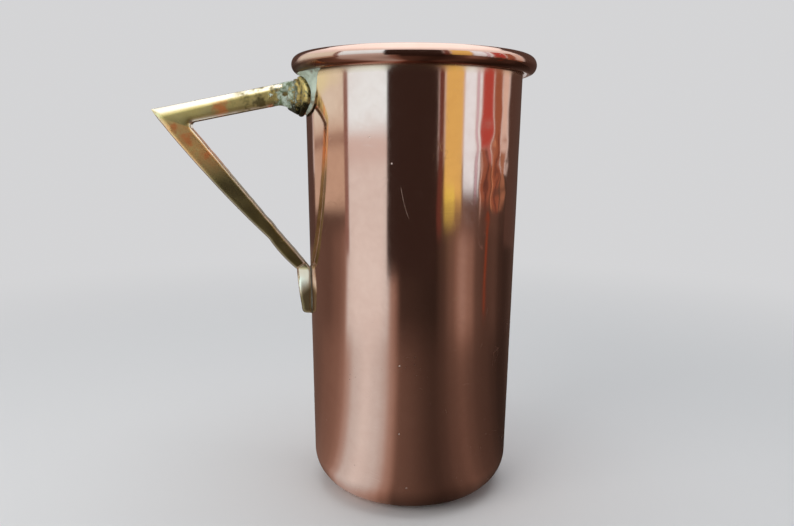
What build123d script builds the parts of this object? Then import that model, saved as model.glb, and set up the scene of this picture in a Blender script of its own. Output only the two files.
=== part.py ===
from build123d import *
import math
import os

# Copper water jug with a soldered brass handle, in millimetres, +Z up.
# The origin is the centre of the foot ring, on the plane that the jug stands on.
# The handle reaches out along -X, and "out" below means the distance from the jug's axis.

# ---- vessel ----
total_height = 180.0
mouth_radius = 44.2         # outside of the wall, level with the middle of the rim
base_radius = 41.5          # outside of the wall, carried down to the plane of the foot
wall = 1.1                  # thickness of the copper sheet
heel_radius = 15.0          # outside rounding between wall and base
foot_width = 2.4            # flat ring that the jug stands on
base_rise = 2.0             # how far the middle of the base is pushed up
base_ramp = 5.0             # width of the slope between foot ring and raised base
ramp_radius = 3.0           # rounding at both ends of that slope

# ---- rolled rim ----
rim_width = 6.4             # across the bead, from the inner wall outwards
rim_height = 7.0            # from the bottom of the bead to its top
curl_gap = 0.2              # slit between the sheet's free edge and the wall
wire_clearance = 0.05

# ---- brass handle ----
handle_reach = 60.1         # from the wall to the pointed tip
handle_width = 8.0          # front to back
arm_slope = 12.0            # degrees, falling towards the tip
arm_depth = 8.1
arm_lift = 1.5              # middle of the arm above the middle of the boss, at the boss
arm_bevel = 1.6             # flats along the two upper edges of the arm
corner_inset = 13.4         # from the tip in to the inner corner
corner_radius = 1.5
strut_bow = 1.4             # how far the strut's outer edge bulges from a straight line
flare_length = 5.0          # where the arm's underside starts to deepen towards the boss
flare_depth = 2.1

# ---- palm, the tongue at the foot of the strut ----
palm_drop = 69.6            # top of the palm below the middle of the boss
palm_length = 19.0
palm_top_thickness = 5.1
palm_end_thickness = 3.7
palm_end_radius = 2.2
solder_film = 0.3           # between brass and copper

# ---- boss, the collar between arm and wall ----
boss_drop = 12.4            # middle of the boss below the middle of the rim
saddle_thickness = 0.9
saddle_half_width = 15.4
saddle_half_height = 7.2
# each ring of the boss: thickness, half width front to back, half height
boss_rings = [(1.9, 16.2, 7.9), (1.8, 8.6, 6.8), (1.6, 6.4, 5.7)]
ring_edge = 0.45

# ---- fastenings ----
stud_radius = 2.0
stud_depth = 7.0            # how far the stud reaches into the arm
stud_clearance = 0.02
stud_burr_radius = 5.5
rivet_radius = 1.5
rivet_spacing = 9.0
rivet_burr_radius = 3.6
countersink_depth = 1.0
burr_thickness = 0.8
peened_height = 1.1
peened_spread = 0.9         # how far a peened end overhangs its shank
dome_steps = 6              # facets from the foot of a peened dome to its top
shield_top_width = 41.0     # solder shield behind the boss, measured straight across
shield_bottom_width = 30.0
shield_drop = 6.4           # bottom of the shield below the middle of the boss
shield_corner_radius = 9.0

# ---- sizes that follow from the ones above ----
rim_z = total_height - rim_height / 2
rim_out = mouth_radius - wall + rim_width / 2
rim_underside = total_height - rim_height
boss_z = rim_z - boss_drop
palm_top_z = boss_z - palm_drop
palm_bottom_z = palm_top_z - palm_length
rivet_middle_z = palm_top_z - palm_length / 2
rivet_heights = [rivet_middle_z + side * rivet_spacing / 2 for side in (-1, 1)]
boss_thickness = sum(ring[0] for ring in boss_rings)
boss_start = solder_film + saddle_thickness
boss_end = boss_start + boss_thickness
wall_slope = (mouth_radius - base_radius) / rim_z
arm_tangent = math.tan(math.radians(arm_slope))
arm_half = arm_depth / 2 / math.cos(math.radians(arm_slope))


def wall_out(z):
    """Radius of the wall's outside at height z."""
    return base_radius + wall_slope * z


boss_face_out = wall_out(boss_z) + boss_end
tip_out = wall_out(boss_z) + handle_reach
stud_end = boss_face_out + stud_depth


def arm_middle(out):
    """Height of the arm's middle line at a distance from the jug's axis."""
    return boss_z + arm_lift - arm_tangent * (out - boss_face_out)


def arm_top(out):
    return arm_middle(out) + arm_half


def arm_under(out):
    return arm_middle(out) - arm_half


def skin(near, far):
    """A tall thin shell round the jug, between two distances from the wall's outside."""
    low, high = heel_radius, rim_z
    corners = [
        (wall_out(low) + near, low),
        (wall_out(low) + far, low),
        (wall_out(high) + far, high),
        (wall_out(high) + near, high),
    ]
    return revolve(Plane.XZ * make_face(Polyline(*corners, close=True)), Axis.Z)


def outward(z):
    """Plane across the jug's axis at height z, seen from the handle: X to the right, Y up."""
    return Plane(origin=(0, 0, z), x_dir=(0, -1, 0), z_dir=(-1, 0, 0))


def oval_bar(half_width, half_height, z, reach):
    """A bar of oval section that runs out along -X from the jug's axis at height z."""
    return extrude(outward(z) * Ellipse(half_width, half_height), reach)


def turned(profile, z):
    """Revolves (out, radius) points round a line along -X at height z."""
    section = make_face(Polyline(*[(-out, z + radius) for out, radius in profile], close=True))
    return revolve(Plane.XZ * section, Axis((0, 0, z), (-1, 0, 0)))


def vessel_half(inset):
    """Half section of the vessel's outside, moved in by inset, from the axis to the mouth."""
    tilt = math.atan(wall_slope)
    foot_out = base_radius - heel_radius * math.tan((math.pi / 2 - tilt) / 2)
    ramp_angle = math.atan2(base_rise, base_ramp)
    shift = inset * math.tan(ramp_angle / 2)
    ramp_start = foot_out - foot_width - ramp_radius * math.tan(ramp_angle / 2)
    points = [
        (0, base_rise + inset),
        (ramp_start - base_ramp - shift, base_rise + inset),
        (ramp_start - shift, inset),
        (wall_out(inset) - inset, inset),
        (wall_out(rim_z) - inset, rim_z),
    ]
    radii = [ramp_radius + inset, ramp_radius - inset, heel_radius - inset]
    return FilletPolyline(*points, radius=radii)


def make_body_shell():
    """Sheet copper: raised base, heel and wall in one, rolled outwards over a wire at the rim."""
    outside = vessel_half(0)
    inside = vessel_half(wall)
    middle = Line(outside @ 0, inside @ 0)
    mouth = Line(outside @ 1, inside @ 1)
    half = make_face(Plane.XZ * (outside + inside + middle + mouth))
    vessel = revolve(half, Axis.Z)
    bead = Pos(rim_out, rim_z) * Ellipse(rim_width / 2, rim_height / 2)
    hollow = Pos(rim_out, rim_z) * Ellipse(rim_width / 2 - wall, rim_height / 2 - wall)
    slit_out = mouth_radius + curl_gap
    slit = Pos(slit_out, rim_z) * Rectangle(rim_width, rim_height, align=(Align.MAX, Align.MAX))
    curl = revolve(Plane.XZ * (bead - hollow - slit), Axis.Z)
    bores = [turned_hole(boss_z, stud_radius)]
    bores += [turned_hole(z, rivet_radius) for z in rivet_heights]
    shell = vessel + curl
    for bore in bores:
        shell -= bore
    return shell


def turned_hole(z, radius):
    """A hole along -X through everything on the handle's side of the jug."""
    return oval_bar(radius + stud_clearance, radius + stud_clearance, z, wall_out(z) + handle_reach)


def make_rim_wire():
    """Flattened copper wire that the sheet is rolled over."""
    half_width = rim_width / 2 - wall - wire_clearance
    half_height = rim_height / 2 - wall - wire_clearance
    return revolve(Plane.XZ * Pos(rim_out, rim_z) * Ellipse(half_width, half_height), Axis.Z)


def handle_outline():
    """Side view of arm, strut and palm as one closed face, drawn with out to the left."""
    corner_out = tip_out - corner_inset
    flare_out = boss_face_out + flare_length
    root_out = wall_out(boss_z) - wall
    collar_z = arm_under(boss_face_out) - flare_depth
    palm_in = wall_out(palm_top_z) - wall
    seat_out = wall_out(palm_top_z) + solder_film
    palm_out = wall_out(palm_top_z) + palm_top_thickness
    end_out = wall_out(palm_bottom_z) + palm_end_thickness
    end_turn = palm_end_radius * (1 - math.cos(math.pi / 4))
    tip = Vector(-tip_out, arm_top(tip_out))
    heel = Vector(-palm_out, palm_top_z - solder_film)
    bulge = (heel - tip).rotate(Axis.Z, -90).normalized() * strut_bow
    root_top = (-root_out, arm_top(boss_face_out))
    root_under = (-root_out, collar_z)
    collar_top = (-boss_face_out, arm_top(boss_face_out))
    collar_under = (-boss_face_out, collar_z)
    flare = (-flare_out, arm_under(flare_out))
    corner = (-corner_out, arm_under(corner_out))
    round_start = (-end_out, palm_bottom_z + palm_end_radius)
    round_middle = (-end_out + end_turn, palm_bottom_z + end_turn)
    round_end = (-end_out + palm_end_radius, palm_bottom_z)
    edges = [
        Line(root_top, collar_top),
        Line(collar_top, tip),
        ThreePointArc(tip, (tip + heel) * 0.5 + bulge, heel),
        Line(heel, round_start),
        ThreePointArc(round_start, round_middle, round_end),
        Line(round_end, (-palm_in, palm_bottom_z)),
        Line((-palm_in, palm_bottom_z), (-palm_in, palm_top_z)),
        Line((-palm_in, palm_top_z), (-seat_out, palm_top_z)),
        Line((-seat_out, palm_top_z), corner),
        Line(corner, flare),
        TangentArc(flare, collar_under, tangent=(1, arm_tangent)),
        Line(collar_under, root_under),
        Line(root_under, root_top),
    ]
    face = make_face(edges)
    inner = face.vertices().sort_by_distance(corner)[0]
    return fillet(inner, corner_radius)


def make_handle_blank():
    """Arm, strut and palm before they are cut to the boss and to the wall."""
    blank = extrude(Plane.XZ * handle_outline(), handle_width / 2, both=True)
    middle_out = (boss_face_out + tip_out) / 2
    upper = []
    for side in (-1, 1):
        on_edge = (-middle_out, side * handle_width / 2, arm_top(middle_out))
        upper.append(blank.edges().sort_by_distance(on_edge)[0])
    return chamfer(upper, arm_bevel)


def make_handle_casting():
    """Arm, strut and palm in one brass casting, seated on the boss and on the wall's solder."""
    seat = Pos(0, 0, boss_z) * Box(4 * handle_reach, 4 * handle_width, 3 * saddle_half_height)
    handle = make_handle_blank() - vessel_core(solder_film)
    handle -= vessel_core(boss_end) & seat
    stud_hole = stud_radius + stud_clearance
    handle -= oval_bar(stud_hole, stud_hole, boss_z, stud_end + stud_clearance)
    for z in rivet_heights:
        handle -= countersunk_bar(z, stud_clearance)
    return handle


def vessel_core(offset):
    """Everything inside the wall's outside, grown by offset."""
    low, high = heel_radius, rim_z
    corners = [(0, low), (wall_out(low) + offset, low), (wall_out(high) + offset, high), (0, high)]
    return revolve(Plane.XZ * make_face(Polyline(*corners, close=True)), Axis.Z)


def palm_face(z):
    """How far out the palm's outer face lies at height z."""
    share = (palm_top_z - z) / palm_length
    thickness = palm_top_thickness + (palm_end_thickness - palm_top_thickness) * share
    return wall_out(z) + thickness


def countersunk_bar(z, grow):
    """A rivet's shank and cone, the cone running on past the palm's face."""
    radius = rivet_radius + grow
    inner_out = burr_face(z) - peened_height / 2
    cone_out = palm_face(z) - countersink_depth
    cone_end = palm_face(z) + countersink_depth
    profile = [
        (inner_out, 0),
        (inner_out, radius),
        (cone_out, radius),
        (cone_end, radius + 2 * countersink_depth),
        (cone_end, 0),
    ]
    return turned(profile, z)


def burr_face(z):
    """How far out a burr's inner face lies at height z."""
    return wall_out(z) - wall - burr_thickness


def peened_end(z, radius):
    """Low dome hammered over on a burr inside the jug."""
    full = radius + peened_spread
    turns = [math.pi / 2 * step / dome_steps for step in range(dome_steps + 1)]
    dome = [(burr_face(z) - peened_height * math.sin(turn), full * math.cos(turn)) for turn in turns]
    return turned([(burr_face(z), 0)] + dome, z) & vessel_core(-wall - burr_thickness)


def make_palm_rivets():
    """Two brass rivets through the palm, finished flush outside and peened inside."""
    limit = make_handle_blank() + vessel_core(solder_film)
    return [(countersunk_bar(z, 0) & limit) + peened_end(z, rivet_radius) for z in rivet_heights]


def make_burr(z, radius, shank):
    """Copper washer bent to the inside of the wall, under a peened end."""
    disc = oval_bar(radius, radius, z, wall_out(z))
    return (disc & skin(-wall - burr_thickness, -wall)) - turned_hole(z, shank)


def make_boss_stud():
    """Brass stud from the arm through boss, saddle and wall, peened inside."""
    start = burr_face(boss_z) - peened_height / 2
    bar = oval_bar(stud_radius, stud_radius, boss_z, stud_end)
    shank = bar - oval_bar(2 * stud_radius, 2 * stud_radius, boss_z, start)
    return shank + peened_end(boss_z, stud_radius)


def make_handle_boss():
    """Oval brass collar of three stepped rings, each curved like the wall behind it."""
    near = boss_start
    boss = None
    for thickness, half_width, half_height in boss_rings:
        bar = oval_bar(half_width, half_height, boss_z, 2 * wall_out(boss_z))
        ring = bar & skin(near, near + thickness)
        rims = [e for e in ring.edges() if e.center().X < 0 and wall_distance(e) > near + thickness / 2]
        ring = fillet(rims, ring_edge)
        boss = ring if boss is None else boss + ring
        near += thickness
    return boss - turned_hole(boss_z, stud_radius)


def wall_distance(edge):
    """How far an edge's first point stands off the wall's outside."""
    point = edge @ 0
    return math.hypot(point.X, point.Y) - wall_out(point.Z)


def make_boss_saddle():
    """Thin oval brass plate bent to the wall, which the boss is seated on."""
    bar = oval_bar(saddle_half_width, saddle_half_height, boss_z, 2 * wall_out(boss_z))
    return (bar & skin(solder_film, solder_film + saddle_thickness)) - turned_hole(boss_z, stud_radius)


def make_boss_solder():
    """Shield of solder on the wall, wide under the rim and narrow below the boss."""
    top, bottom = shield_top_width / 2, shield_bottom_width / 2
    ceiling, floor = rim_underside - boss_z, -shield_drop
    corners = [(-top, ceiling), (-bottom, floor), (bottom, floor), (top, ceiling)]
    outline = make_face(Polyline(*corners, close=True))
    outline = fillet(outline.vertices().group_by(Axis.Y)[0], shield_corner_radius)
    bar = extrude(outward(boss_z) * outline, 2 * wall_out(boss_z))
    return (bar & skin(0, solder_film)) - turned_hole(boss_z, stud_radius)


def make_palm_solder():
    """Thin film of solder between the palm and the wall."""
    outline = Rectangle(handle_width, palm_length)
    bar = extrude(outward(rivet_middle_z) * outline, 2 * wall_out(rivet_middle_z))
    film = bar & skin(0, solder_film)
    for z in rivet_heights:
        film -= turned_hole(z, rivet_radius)
    return film


def main():
    os.makedirs("parts", exist_ok=True)
    nodes = {
        "body_shell": make_body_shell(),
        "rim_wire": make_rim_wire(),
        "handle_casting": make_handle_casting(),
        "handle_boss": make_handle_boss(),
        "boss_saddle": make_boss_saddle(),
        "boss_stud": make_boss_stud(),
        "boss_burr": make_burr(boss_z, stud_burr_radius, stud_radius),
        "boss_solder": make_boss_solder(),
        "palm_rivets": Compound(children=make_palm_rivets()),
        "palm_burrs": Compound(children=[make_burr(z, rivet_burr_radius, rivet_radius) for z in rivet_heights]),
        "palm_solder": make_palm_solder(),
    }
    for name, shape in nodes.items():
        export_step(shape, f"parts/{name}.step")
        print(name, round(shape.volume, 1))


main()
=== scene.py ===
# %% [markdown]
# # Copper water jug with a brass handle
# A tall drawn copper jug: one sheet makes base, wall and rolled rim, and a cast brass handle
# is held to it by a ringed collar above and a flat tongue, the palm, below.
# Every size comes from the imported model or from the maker's sizes named beside each piece.

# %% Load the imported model
import math
import bpy
import bmesh
import numpy as np
from mathutils import Matrix, Vector, noise


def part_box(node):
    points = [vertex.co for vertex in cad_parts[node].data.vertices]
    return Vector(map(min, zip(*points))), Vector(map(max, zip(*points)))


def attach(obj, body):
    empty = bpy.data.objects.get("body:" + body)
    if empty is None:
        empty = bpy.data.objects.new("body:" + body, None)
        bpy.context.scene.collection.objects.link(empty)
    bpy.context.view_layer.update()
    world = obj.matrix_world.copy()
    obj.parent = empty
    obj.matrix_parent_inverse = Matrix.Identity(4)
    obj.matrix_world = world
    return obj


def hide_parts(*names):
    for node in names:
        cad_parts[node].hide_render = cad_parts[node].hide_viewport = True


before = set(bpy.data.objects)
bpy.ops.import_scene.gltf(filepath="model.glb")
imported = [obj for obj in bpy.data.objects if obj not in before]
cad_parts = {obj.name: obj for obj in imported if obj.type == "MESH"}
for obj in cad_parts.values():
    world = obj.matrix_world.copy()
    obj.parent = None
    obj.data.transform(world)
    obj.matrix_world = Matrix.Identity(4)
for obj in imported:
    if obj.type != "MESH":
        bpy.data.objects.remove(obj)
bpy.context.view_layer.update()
scene = bpy.context.scene
scene.view_settings.view_transform = "Standard"
MM = 0.001
print("nodes:", sorted(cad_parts))

# %% [markdown]
# ## Sizes of the jug
# The sheet, the rim and the heel are sizes a coppersmith would know. Height and widths are read
# from the model's boxes, so that the pieces here sit exactly on the solid ones.

# %% Sizes
shell_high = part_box("body_shell")[1]
total_height = shell_high.z
sheet = 1.1 * MM
rim_width = 6.4 * MM
rim_height = 7.0 * MM
curl_gap = 0.2 * MM
heel_radius = 15.0 * MM
base_radius = 41.5 * MM
foot_width = 2.4 * MM
base_rise = 2.0 * MM
base_ramp = 5.0 * MM
ramp_radius = 3.0 * MM
rim_z = total_height - rim_height / 2
bead_bottom = rim_z - rim_height / 2
mouth_radius = shell_high.x - rim_width + sheet
rim_out = mouth_radius - sheet + rim_width / 2
wall_slope = (mouth_radius - base_radius) / rim_z

boss_low, boss_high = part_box("handle_boss")
boss_z = (boss_low.z + boss_high.z) / 2
handle_low, handle_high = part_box("handle_casting")
tip_out = -handle_low.x
handle_width = handle_high.y - handle_low.y
palm_bottom_z = handle_low.z
palm_length = 19.0 * MM
palm_top_z = palm_bottom_z + palm_length


def wall_out(z):
    """How far the wall's outside lies from the axis at height z."""
    return base_radius + wall_slope * z


print("mouth", round(mouth_radius / MM, 2), "boss", round(boss_z / MM, 2), "tip", round(tip_out / MM, 2))

# %% [markdown]
# ## Camera
# A short lens close to the jug, a little below the rim, so that the mouth arches upwards and the
# base looks rounder than it is. It stands slightly towards the handle's side. The place is given
# as distance, heading and eye height, as one would set up a tripod.

# %% Camera
camera_distance = 295.5 * MM
camera_height = 145.5 * MM
heading = math.radians(9.5)
look_down = math.radians(9.63)
look_aside = math.radians(-1.2)
lean = math.radians(-0.43)

camera_data = bpy.data.cameras.new("camera")
camera_data.sensor_width = 36.0
camera_data.lens = 31.74
camera_data.clip_start = 0.01
camera = bpy.data.objects.new("camera", camera_data)
scene.collection.objects.link(camera)
scene.camera = camera
stand = Vector((-camera_distance * math.sin(heading), -camera_distance * math.cos(heading), camera_height))
turn = Matrix.Rotation(-heading - look_aside, 4, "Z")
tip_down = Matrix.Rotation(math.pi / 2 - look_down, 4, "X")
roll = Matrix.Rotation(-lean, 4, "Z")
camera.matrix_world = Matrix.Translation(stand) @ turn @ tip_down @ roll
print("camera at", [round(c, 3) for c in stand])

# %% [markdown]
# ## Mesh helpers
# Most pieces here are grids of points: rows of a section carried along a path. One helper joins
# neighbouring points with faces, and closes each row round where the piece is a ring. Wear, painted
# shade and painted highlight are painted on the points as masks, values from 0 to 1 that the
# materials read, because they follow each piece's own shape.

# %% Grid of points to mesh


def add_mesh(name, points, faces, smooth=True):
    mesh = bpy.data.meshes.new(name)
    mesh.from_pydata([tuple(p) for p in points], [], faces)
    mesh.validate()
    piece = bpy.data.objects.new(name, mesh)
    scene.collection.objects.link(piece)
    mesh.polygons.foreach_set("use_smooth", [smooth] * len(mesh.polygons))
    return piece


def grid_faces(rows, columns, close_columns=False):
    """Quads between neighbouring points of a grid whose points are stored row by row."""
    faces = []
    for row in range(rows - 1):
        below = row * columns
        above = below + columns
        for column in range(columns if close_columns else columns - 1):
            beside = (column + 1) % columns
            faces.append((below + column, below + beside, above + beside, above + column))
    return faces


def outward_normals(piece):
    bm = bmesh.new()
    bm.from_mesh(piece.data)
    bmesh.ops.recalc_face_normals(bm, faces=bm.faces)
    bm.to_mesh(piece.data)
    bm.free()


def apply_modifiers(piece):
    ready = bpy.data.meshes.new_from_object(piece.evaluated_get(bpy.context.evaluated_depsgraph_get()))
    old = piece.data
    piece.modifiers.clear()
    piece.data = ready
    bpy.data.meshes.remove(old)
    ready.name = piece.name
    ready.polygons.foreach_set("use_smooth", [True] * len(ready.polygons))


# %% Soft steps, masks and the last touch


def smooth_step(low, high, value):
    """0 at low and 1 at high, which may be the smaller of the two, with a soft start and end."""
    share = min(1.0, max(0.0, (value - low) / (high - low)))
    return share * share * (3 - 2 * share)


def held(value):
    return max(0.0, min(1.0, value))


def paint_points(mesh, names, rows):
    """Stores a row of values for each point, under the given names."""
    for name, column in zip(names, zip(*rows)):
        mesh.attributes.new(name, "FLOAT", "POINT").data.foreach_set("value", list(column))


def finish_piece(piece, slot, *nodes):
    """Every piece rides on the one body and may replace nodes; slot is not used."""
    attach(piece, "root")
    if nodes:
        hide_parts(*nodes)
    print(piece.name, len(piece.data.vertices), "points")


# %% [markdown]
# ## Copper body
# The real body is one disc of copper, drawn or spun into a cup and then rolled outwards over a
# wire at the rim. A lathe profile says all of that in one line of points: along the outside from
# the middle of the base, round the curl and its free edge, and back down the inside.
# Straight and round stretches are worked out, so no point of it has to be placed by hand.

# %% Round between two straight runs


def corner_arc(before, corner, after, radius, steps):
    """Points of the round that a radius leaves at a corner between two straight runs."""
    first = (Vector(before) - Vector(corner)).normalized()
    second = (Vector(after) - Vector(corner)).normalized()
    half = first.angle(second) / 2
    centre = Vector(corner) + (first + second).normalized() * radius / math.sin(half)
    start = Vector(corner) + first * radius / math.tan(half) - centre
    end = Vector(corner) + second * radius / math.tan(half) - centre
    whole = start.angle_signed(end)
    arc = []
    for step in range(steps + 1):
        turned = start.copy()
        turned.rotate(Matrix.Rotation(-whole * step / steps, 2))
        arc.append(centre + turned)
    return arc


# %% Vessel from the axis to the mouth
base_shares = (0.02, 0.3, 0.6, 0.85)
heel_steps = 18
outside_courses = 105
inside_courses = 40


def vessel_line(inset, courses):
    """Outside of the vessel moved in by inset, from the axis to the mouth."""
    tilt = math.atan(wall_slope)
    foot_out = base_radius - heel_radius * math.tan((math.pi / 2 - tilt) / 2)
    ramp_angle = math.atan2(base_rise, base_ramp)
    shift = inset * math.tan(ramp_angle / 2)
    ramp_start = foot_out - foot_width - ramp_radius * math.tan(ramp_angle / 2)
    knots = [
        Vector((0.0, base_rise + inset)),
        Vector((ramp_start - base_ramp - shift, base_rise + inset)),
        Vector((ramp_start - shift, inset)),
        Vector((wall_out(inset) - inset, inset)),
        Vector((wall_out(rim_z) - inset, rim_z)),
    ]
    line = [knots[0] + (knots[1] - knots[0]) * share for share in base_shares]
    line += corner_arc(*knots[0:3], ramp_radius + inset, heel_steps // 3)
    line += corner_arc(*knots[1:4], ramp_radius - inset, heel_steps // 3)
    line += corner_arc(*knots[2:5], heel_radius - inset, heel_steps)
    wall_start = line[-1]
    line += [wall_start.lerp(knots[4], course / courses) for course in range(1, courses + 1)]
    return line


outside_line = vessel_line(0.0, outside_courses)
inside_line = vessel_line(sheet, inside_courses)[::-1]
print("outside", len(outside_line), "points, inside", len(inside_line))

# %% Curl over the wire, and the whole profile
inner_curl_steps = 22
outer_curl_steps = 40


def oval_arc(half_width, half_height, start, end, steps):
    """Points of an oval round the rim's wire, from one angle to another."""
    arc = []
    for step in range(steps + 1):
        angle = start + (end - start) * step / steps
        arc.append(Vector((rim_out + half_width * math.cos(angle), rim_z + half_height * math.sin(angle))))
    return arc


def curl_line():
    """The curl: over the wire on its inner side, round the free edge, back over the outside."""
    inner = (rim_width / 2 - sheet, rim_height / 2 - sheet)
    outer = (rim_width / 2, rim_height / 2)
    lip_out = mouth_radius + curl_gap
    inner_end = -math.acos((lip_out - rim_out) / inner[0])
    outer_end = -math.acos((lip_out - rim_out) / outer[0])
    under = oval_arc(*inner, math.pi, inner_end, inner_curl_steps)
    over = oval_arc(*outer, outer_end, math.pi, outer_curl_steps)
    return under[1:] + over[:-1]


over_rim = curl_line()
profile = outside_line + over_rim + inside_line
print("profile points:", len(profile))

# %% [markdown]
# ## Dents
# Polished sheet shows even a tenth of a millimetre. A gentle wander is laid over the turned
# shape, with a few shallow dents: broad ones from knocks, and a cluster of small ones on the
# right, where the reflections break up. They are real dips of the mesh, not only bump.

# %% Dents and wander of the sheet
dents = [
    # angle in degrees from +X, height, width and depth in millimetres
    (-76.0, 9.0, 3.2, 0.10),
    (-60.0, 151.0, 4.5, 0.12),
    (-57.0, 138.0, 3.6, -0.10),
    (-60.5, 130.0, 3.2, 0.11),
    (-52.0, 126.0, 4.2, 0.12),
    (-65.0, 144.0, 3.4, -0.07),
    (-48.0, 158.0, 6.0, -0.09),
    (-56.0, 145.0, 2.4, 0.08),
    (-50.5, 142.5, 2.6, -0.08),
    (-46.5, 146.0, 2.5, 0.08),
    (-53.5, 134.0, 2.4, 0.09),
    (-48.5, 134.5, 2.6, -0.09),
    (-44.0, 138.0, 2.6, 0.09),
    (-45.5, 127.5, 2.6, 0.08),
    (-50.0, 119.5, 2.8, -0.07),
    (-59.0, 117.5, 2.8, 0.07),
    (-83.0, 121.0, 9.0, 0.05),
    (-52.0, 92.0, 12.0, 0.07),
    (-118.0, 58.0, 14.0, 0.06),
    (40.0, 70.0, 11.0, 0.10),
    (95.0, 120.0, 15.0, 0.12),
    (150.0, 44.0, 9.0, 0.10),
    (-20.0, 140.0, 10.0, 0.06),
    (115.0, 22.0, 7.0, 0.12),
]
long_wave_height = 0.045 * MM
short_wave_height = 0.010 * MM
wave_rise = 30 * MM
waves_round = 1.4
short_waves = 3.1
drawn_in = 0.05 * MM
steady_rim = 12 * MM
steady_foot = 4 * MM
steady_middle = 30 * MM


def sheet_wander(angle, z):
    """How far the sheet stands off the true turned shape; the same for both its sides."""
    place = Vector((math.cos(angle) * waves_round, math.sin(angle) * waves_round, z / wave_rise))
    long_wave = noise.noise(place) * long_wave_height
    short_wave = noise.noise(place * short_waves + Vector((7, 3, 1))) * short_wave_height
    depth = 0.0
    for degrees, height, width, deep in dents:
        across = math.remainder(angle - math.radians(degrees), 2 * math.pi) * mouth_radius
        reach = math.hypot(across, z - height * MM) / (width * MM)
        depth += deep * MM * math.exp(-reach * reach * 2)
    calm = smooth_step(total_height, total_height - steady_rim, z) * smooth_step(0.0, steady_foot, z)
    return (long_wave + short_wave - drawn_in) * calm - depth


print(len(dents), "dents")

# %% Turn the profile round the axis
segments = 280


def make_body():
    points = []
    for column in range(segments):
        angle = 2 * math.pi * column / segments
        along, across = math.cos(angle), math.sin(angle)
        for r, z in profile:
            out = r + sheet_wander(angle, z) * min(1.0, r / steady_middle)
            points.append((along * out, across * out, z))
    columns = len(profile)
    faces = []
    for row in range(segments):
        here, there = row * columns, (row + 1) % segments * columns
        for step in range(columns - 1):
            faces.append((here + step, here + step + 1, there + step + 1, there + step))
    under = len(points)
    points += [(0, 0, base_rise), (0, 0, base_rise + sheet)]
    for row in range(segments):
        here, there = row * columns, (row + 1) % segments * columns
        faces.append((under, here, there))
        faces.append((under + 1, there + columns - 1, here + columns - 1))
    piece = add_mesh("copper_body", points, faces)
    outward_normals(piece)
    return piece


copper_body = make_body()
finish_piece(copper_body, "copper_sheet", "body_shell")

# %% [markdown]
# ## Cast brass handle
# Arm, strut and palm are one casting, filed flat on its sides. Its side view is drawn once,
# corner by corner, and given thickness. Two gentle curves bow the strut's outer edge.

# %% Sizes of the handle
arm_slope = math.tan(math.radians(12.0))
arm_cosine = math.cos(math.atan(arm_slope))
arm_depth = 8.1 * MM
arm_half = arm_depth / 2 / arm_cosine
arm_lift = 1.5 * MM
corner_inset = 14.0 * MM
corner_radius = 1.5 * MM
strut_bow = 1.25 * MM
foot_bow = 0.6 * MM
foot_share = 0.80
flare_length = 5.0 * MM
flare_depth = 2.1 * MM
flare_pull = 0.35
root_depth = 2.0 * MM
palm_top_thickness = 5.7 * MM
palm_end_thickness = 4.1 * MM
palm_end_round = 0.6
palm_swell = 0.35 * MM
solder_film = 0.3 * MM
saddle_thickness = 0.9 * MM
boss_thickness = 5.3 * MM
buried = 0.5 * MM
boss_face = wall_out(boss_z) + solder_film + saddle_thickness + boss_thickness
print("boss face", round(boss_face / MM, 2), "mm from the axis")

# %% Side view, corner by corner


def arm_top(out):
    return boss_z + arm_lift + arm_half - arm_slope * (out - boss_face)


def arm_under(out):
    return boss_z + arm_lift - arm_half - arm_slope * (out - boss_face)


def bend(start, pull, end, steps):
    """Points of a quadratic curve from start to end, drawn towards pull, without its start."""
    start, pull, end = Vector(start), Vector(pull), Vector(end)
    shares = [step / steps for step in range(1, steps + 1)]
    return [start.lerp(pull, share).lerp(pull.lerp(end, share), share) for share in shares]


def handle_outline():
    root = boss_face - root_depth
    tip = Vector((tip_out, arm_top(tip_out)))
    knee = Vector((wall_out(palm_top_z) + palm_top_thickness, palm_top_z - solder_film))
    palm_end = wall_out(palm_bottom_z) + palm_end_thickness
    rounding = palm_end_thickness * palm_end_round
    under_palm = palm_end - rounding
    inside_wall = wall_out(palm_top_z) - buried
    seat = Vector((wall_out(palm_top_z) + solder_film, palm_top_z))
    inner = Vector((tip_out - corner_inset, arm_under(tip_out - corner_inset)))
    flare = Vector((boss_face + flare_length, arm_under(boss_face + flare_length)))
    flare_bend = boss_face + flare_length * flare_pull
    collar = Vector((boss_face, arm_under(boss_face) - flare_depth))
    below = (knee - tip).normalized()
    outwards = Vector((-below.y, below.x))
    foot = tip.lerp(knee, foot_share)
    palm_bend = knee.lerp(Vector((palm_end, palm_bottom_z)), 0.4) + Vector((palm_swell, 0))
    down_strut = (seat - inner).normalized()
    into_wall = seat + down_strut * (seat.x - inside_wall) / abs(down_strut.x)
    outline = [Vector((root, arm_top(boss_face))), Vector((boss_face, arm_top(boss_face))), tip]
    outline += bend(tip, (tip + foot) / 2 + outwards * strut_bow * 2, foot, 12)
    outline += bend(foot, (foot + knee) / 2 + outwards * foot_bow * 2, knee, 6)
    outline += bend(knee, palm_bend, Vector((palm_end, palm_bottom_z + rounding)), 6)
    outline += bend(outline[-1], (palm_end, palm_bottom_z), (under_palm, palm_bottom_z), 5)
    outline += [Vector((inside_wall, palm_bottom_z)), Vector((inside_wall, into_wall.y)), into_wall]
    outline += corner_arc(seat, inner, flare, corner_radius, 5)
    outline += bend(flare, (flare_bend, arm_under(flare_bend)), collar, 8)
    outline += [Vector((root, collar.y))]
    return outline


print("handle outline:", len(handle_outline()), "points")

# %% [markdown]
# ## Filing the casting
# The arm has long bevels, wide at the tip and narrow at the boss, as a file leaves them, and every
# edge is worn round. A voxel remesh turns the sharp solid into an even skin. Each point's width
# is then brought in by a drop worked out from its place in the side view, and the skin softened.

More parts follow.
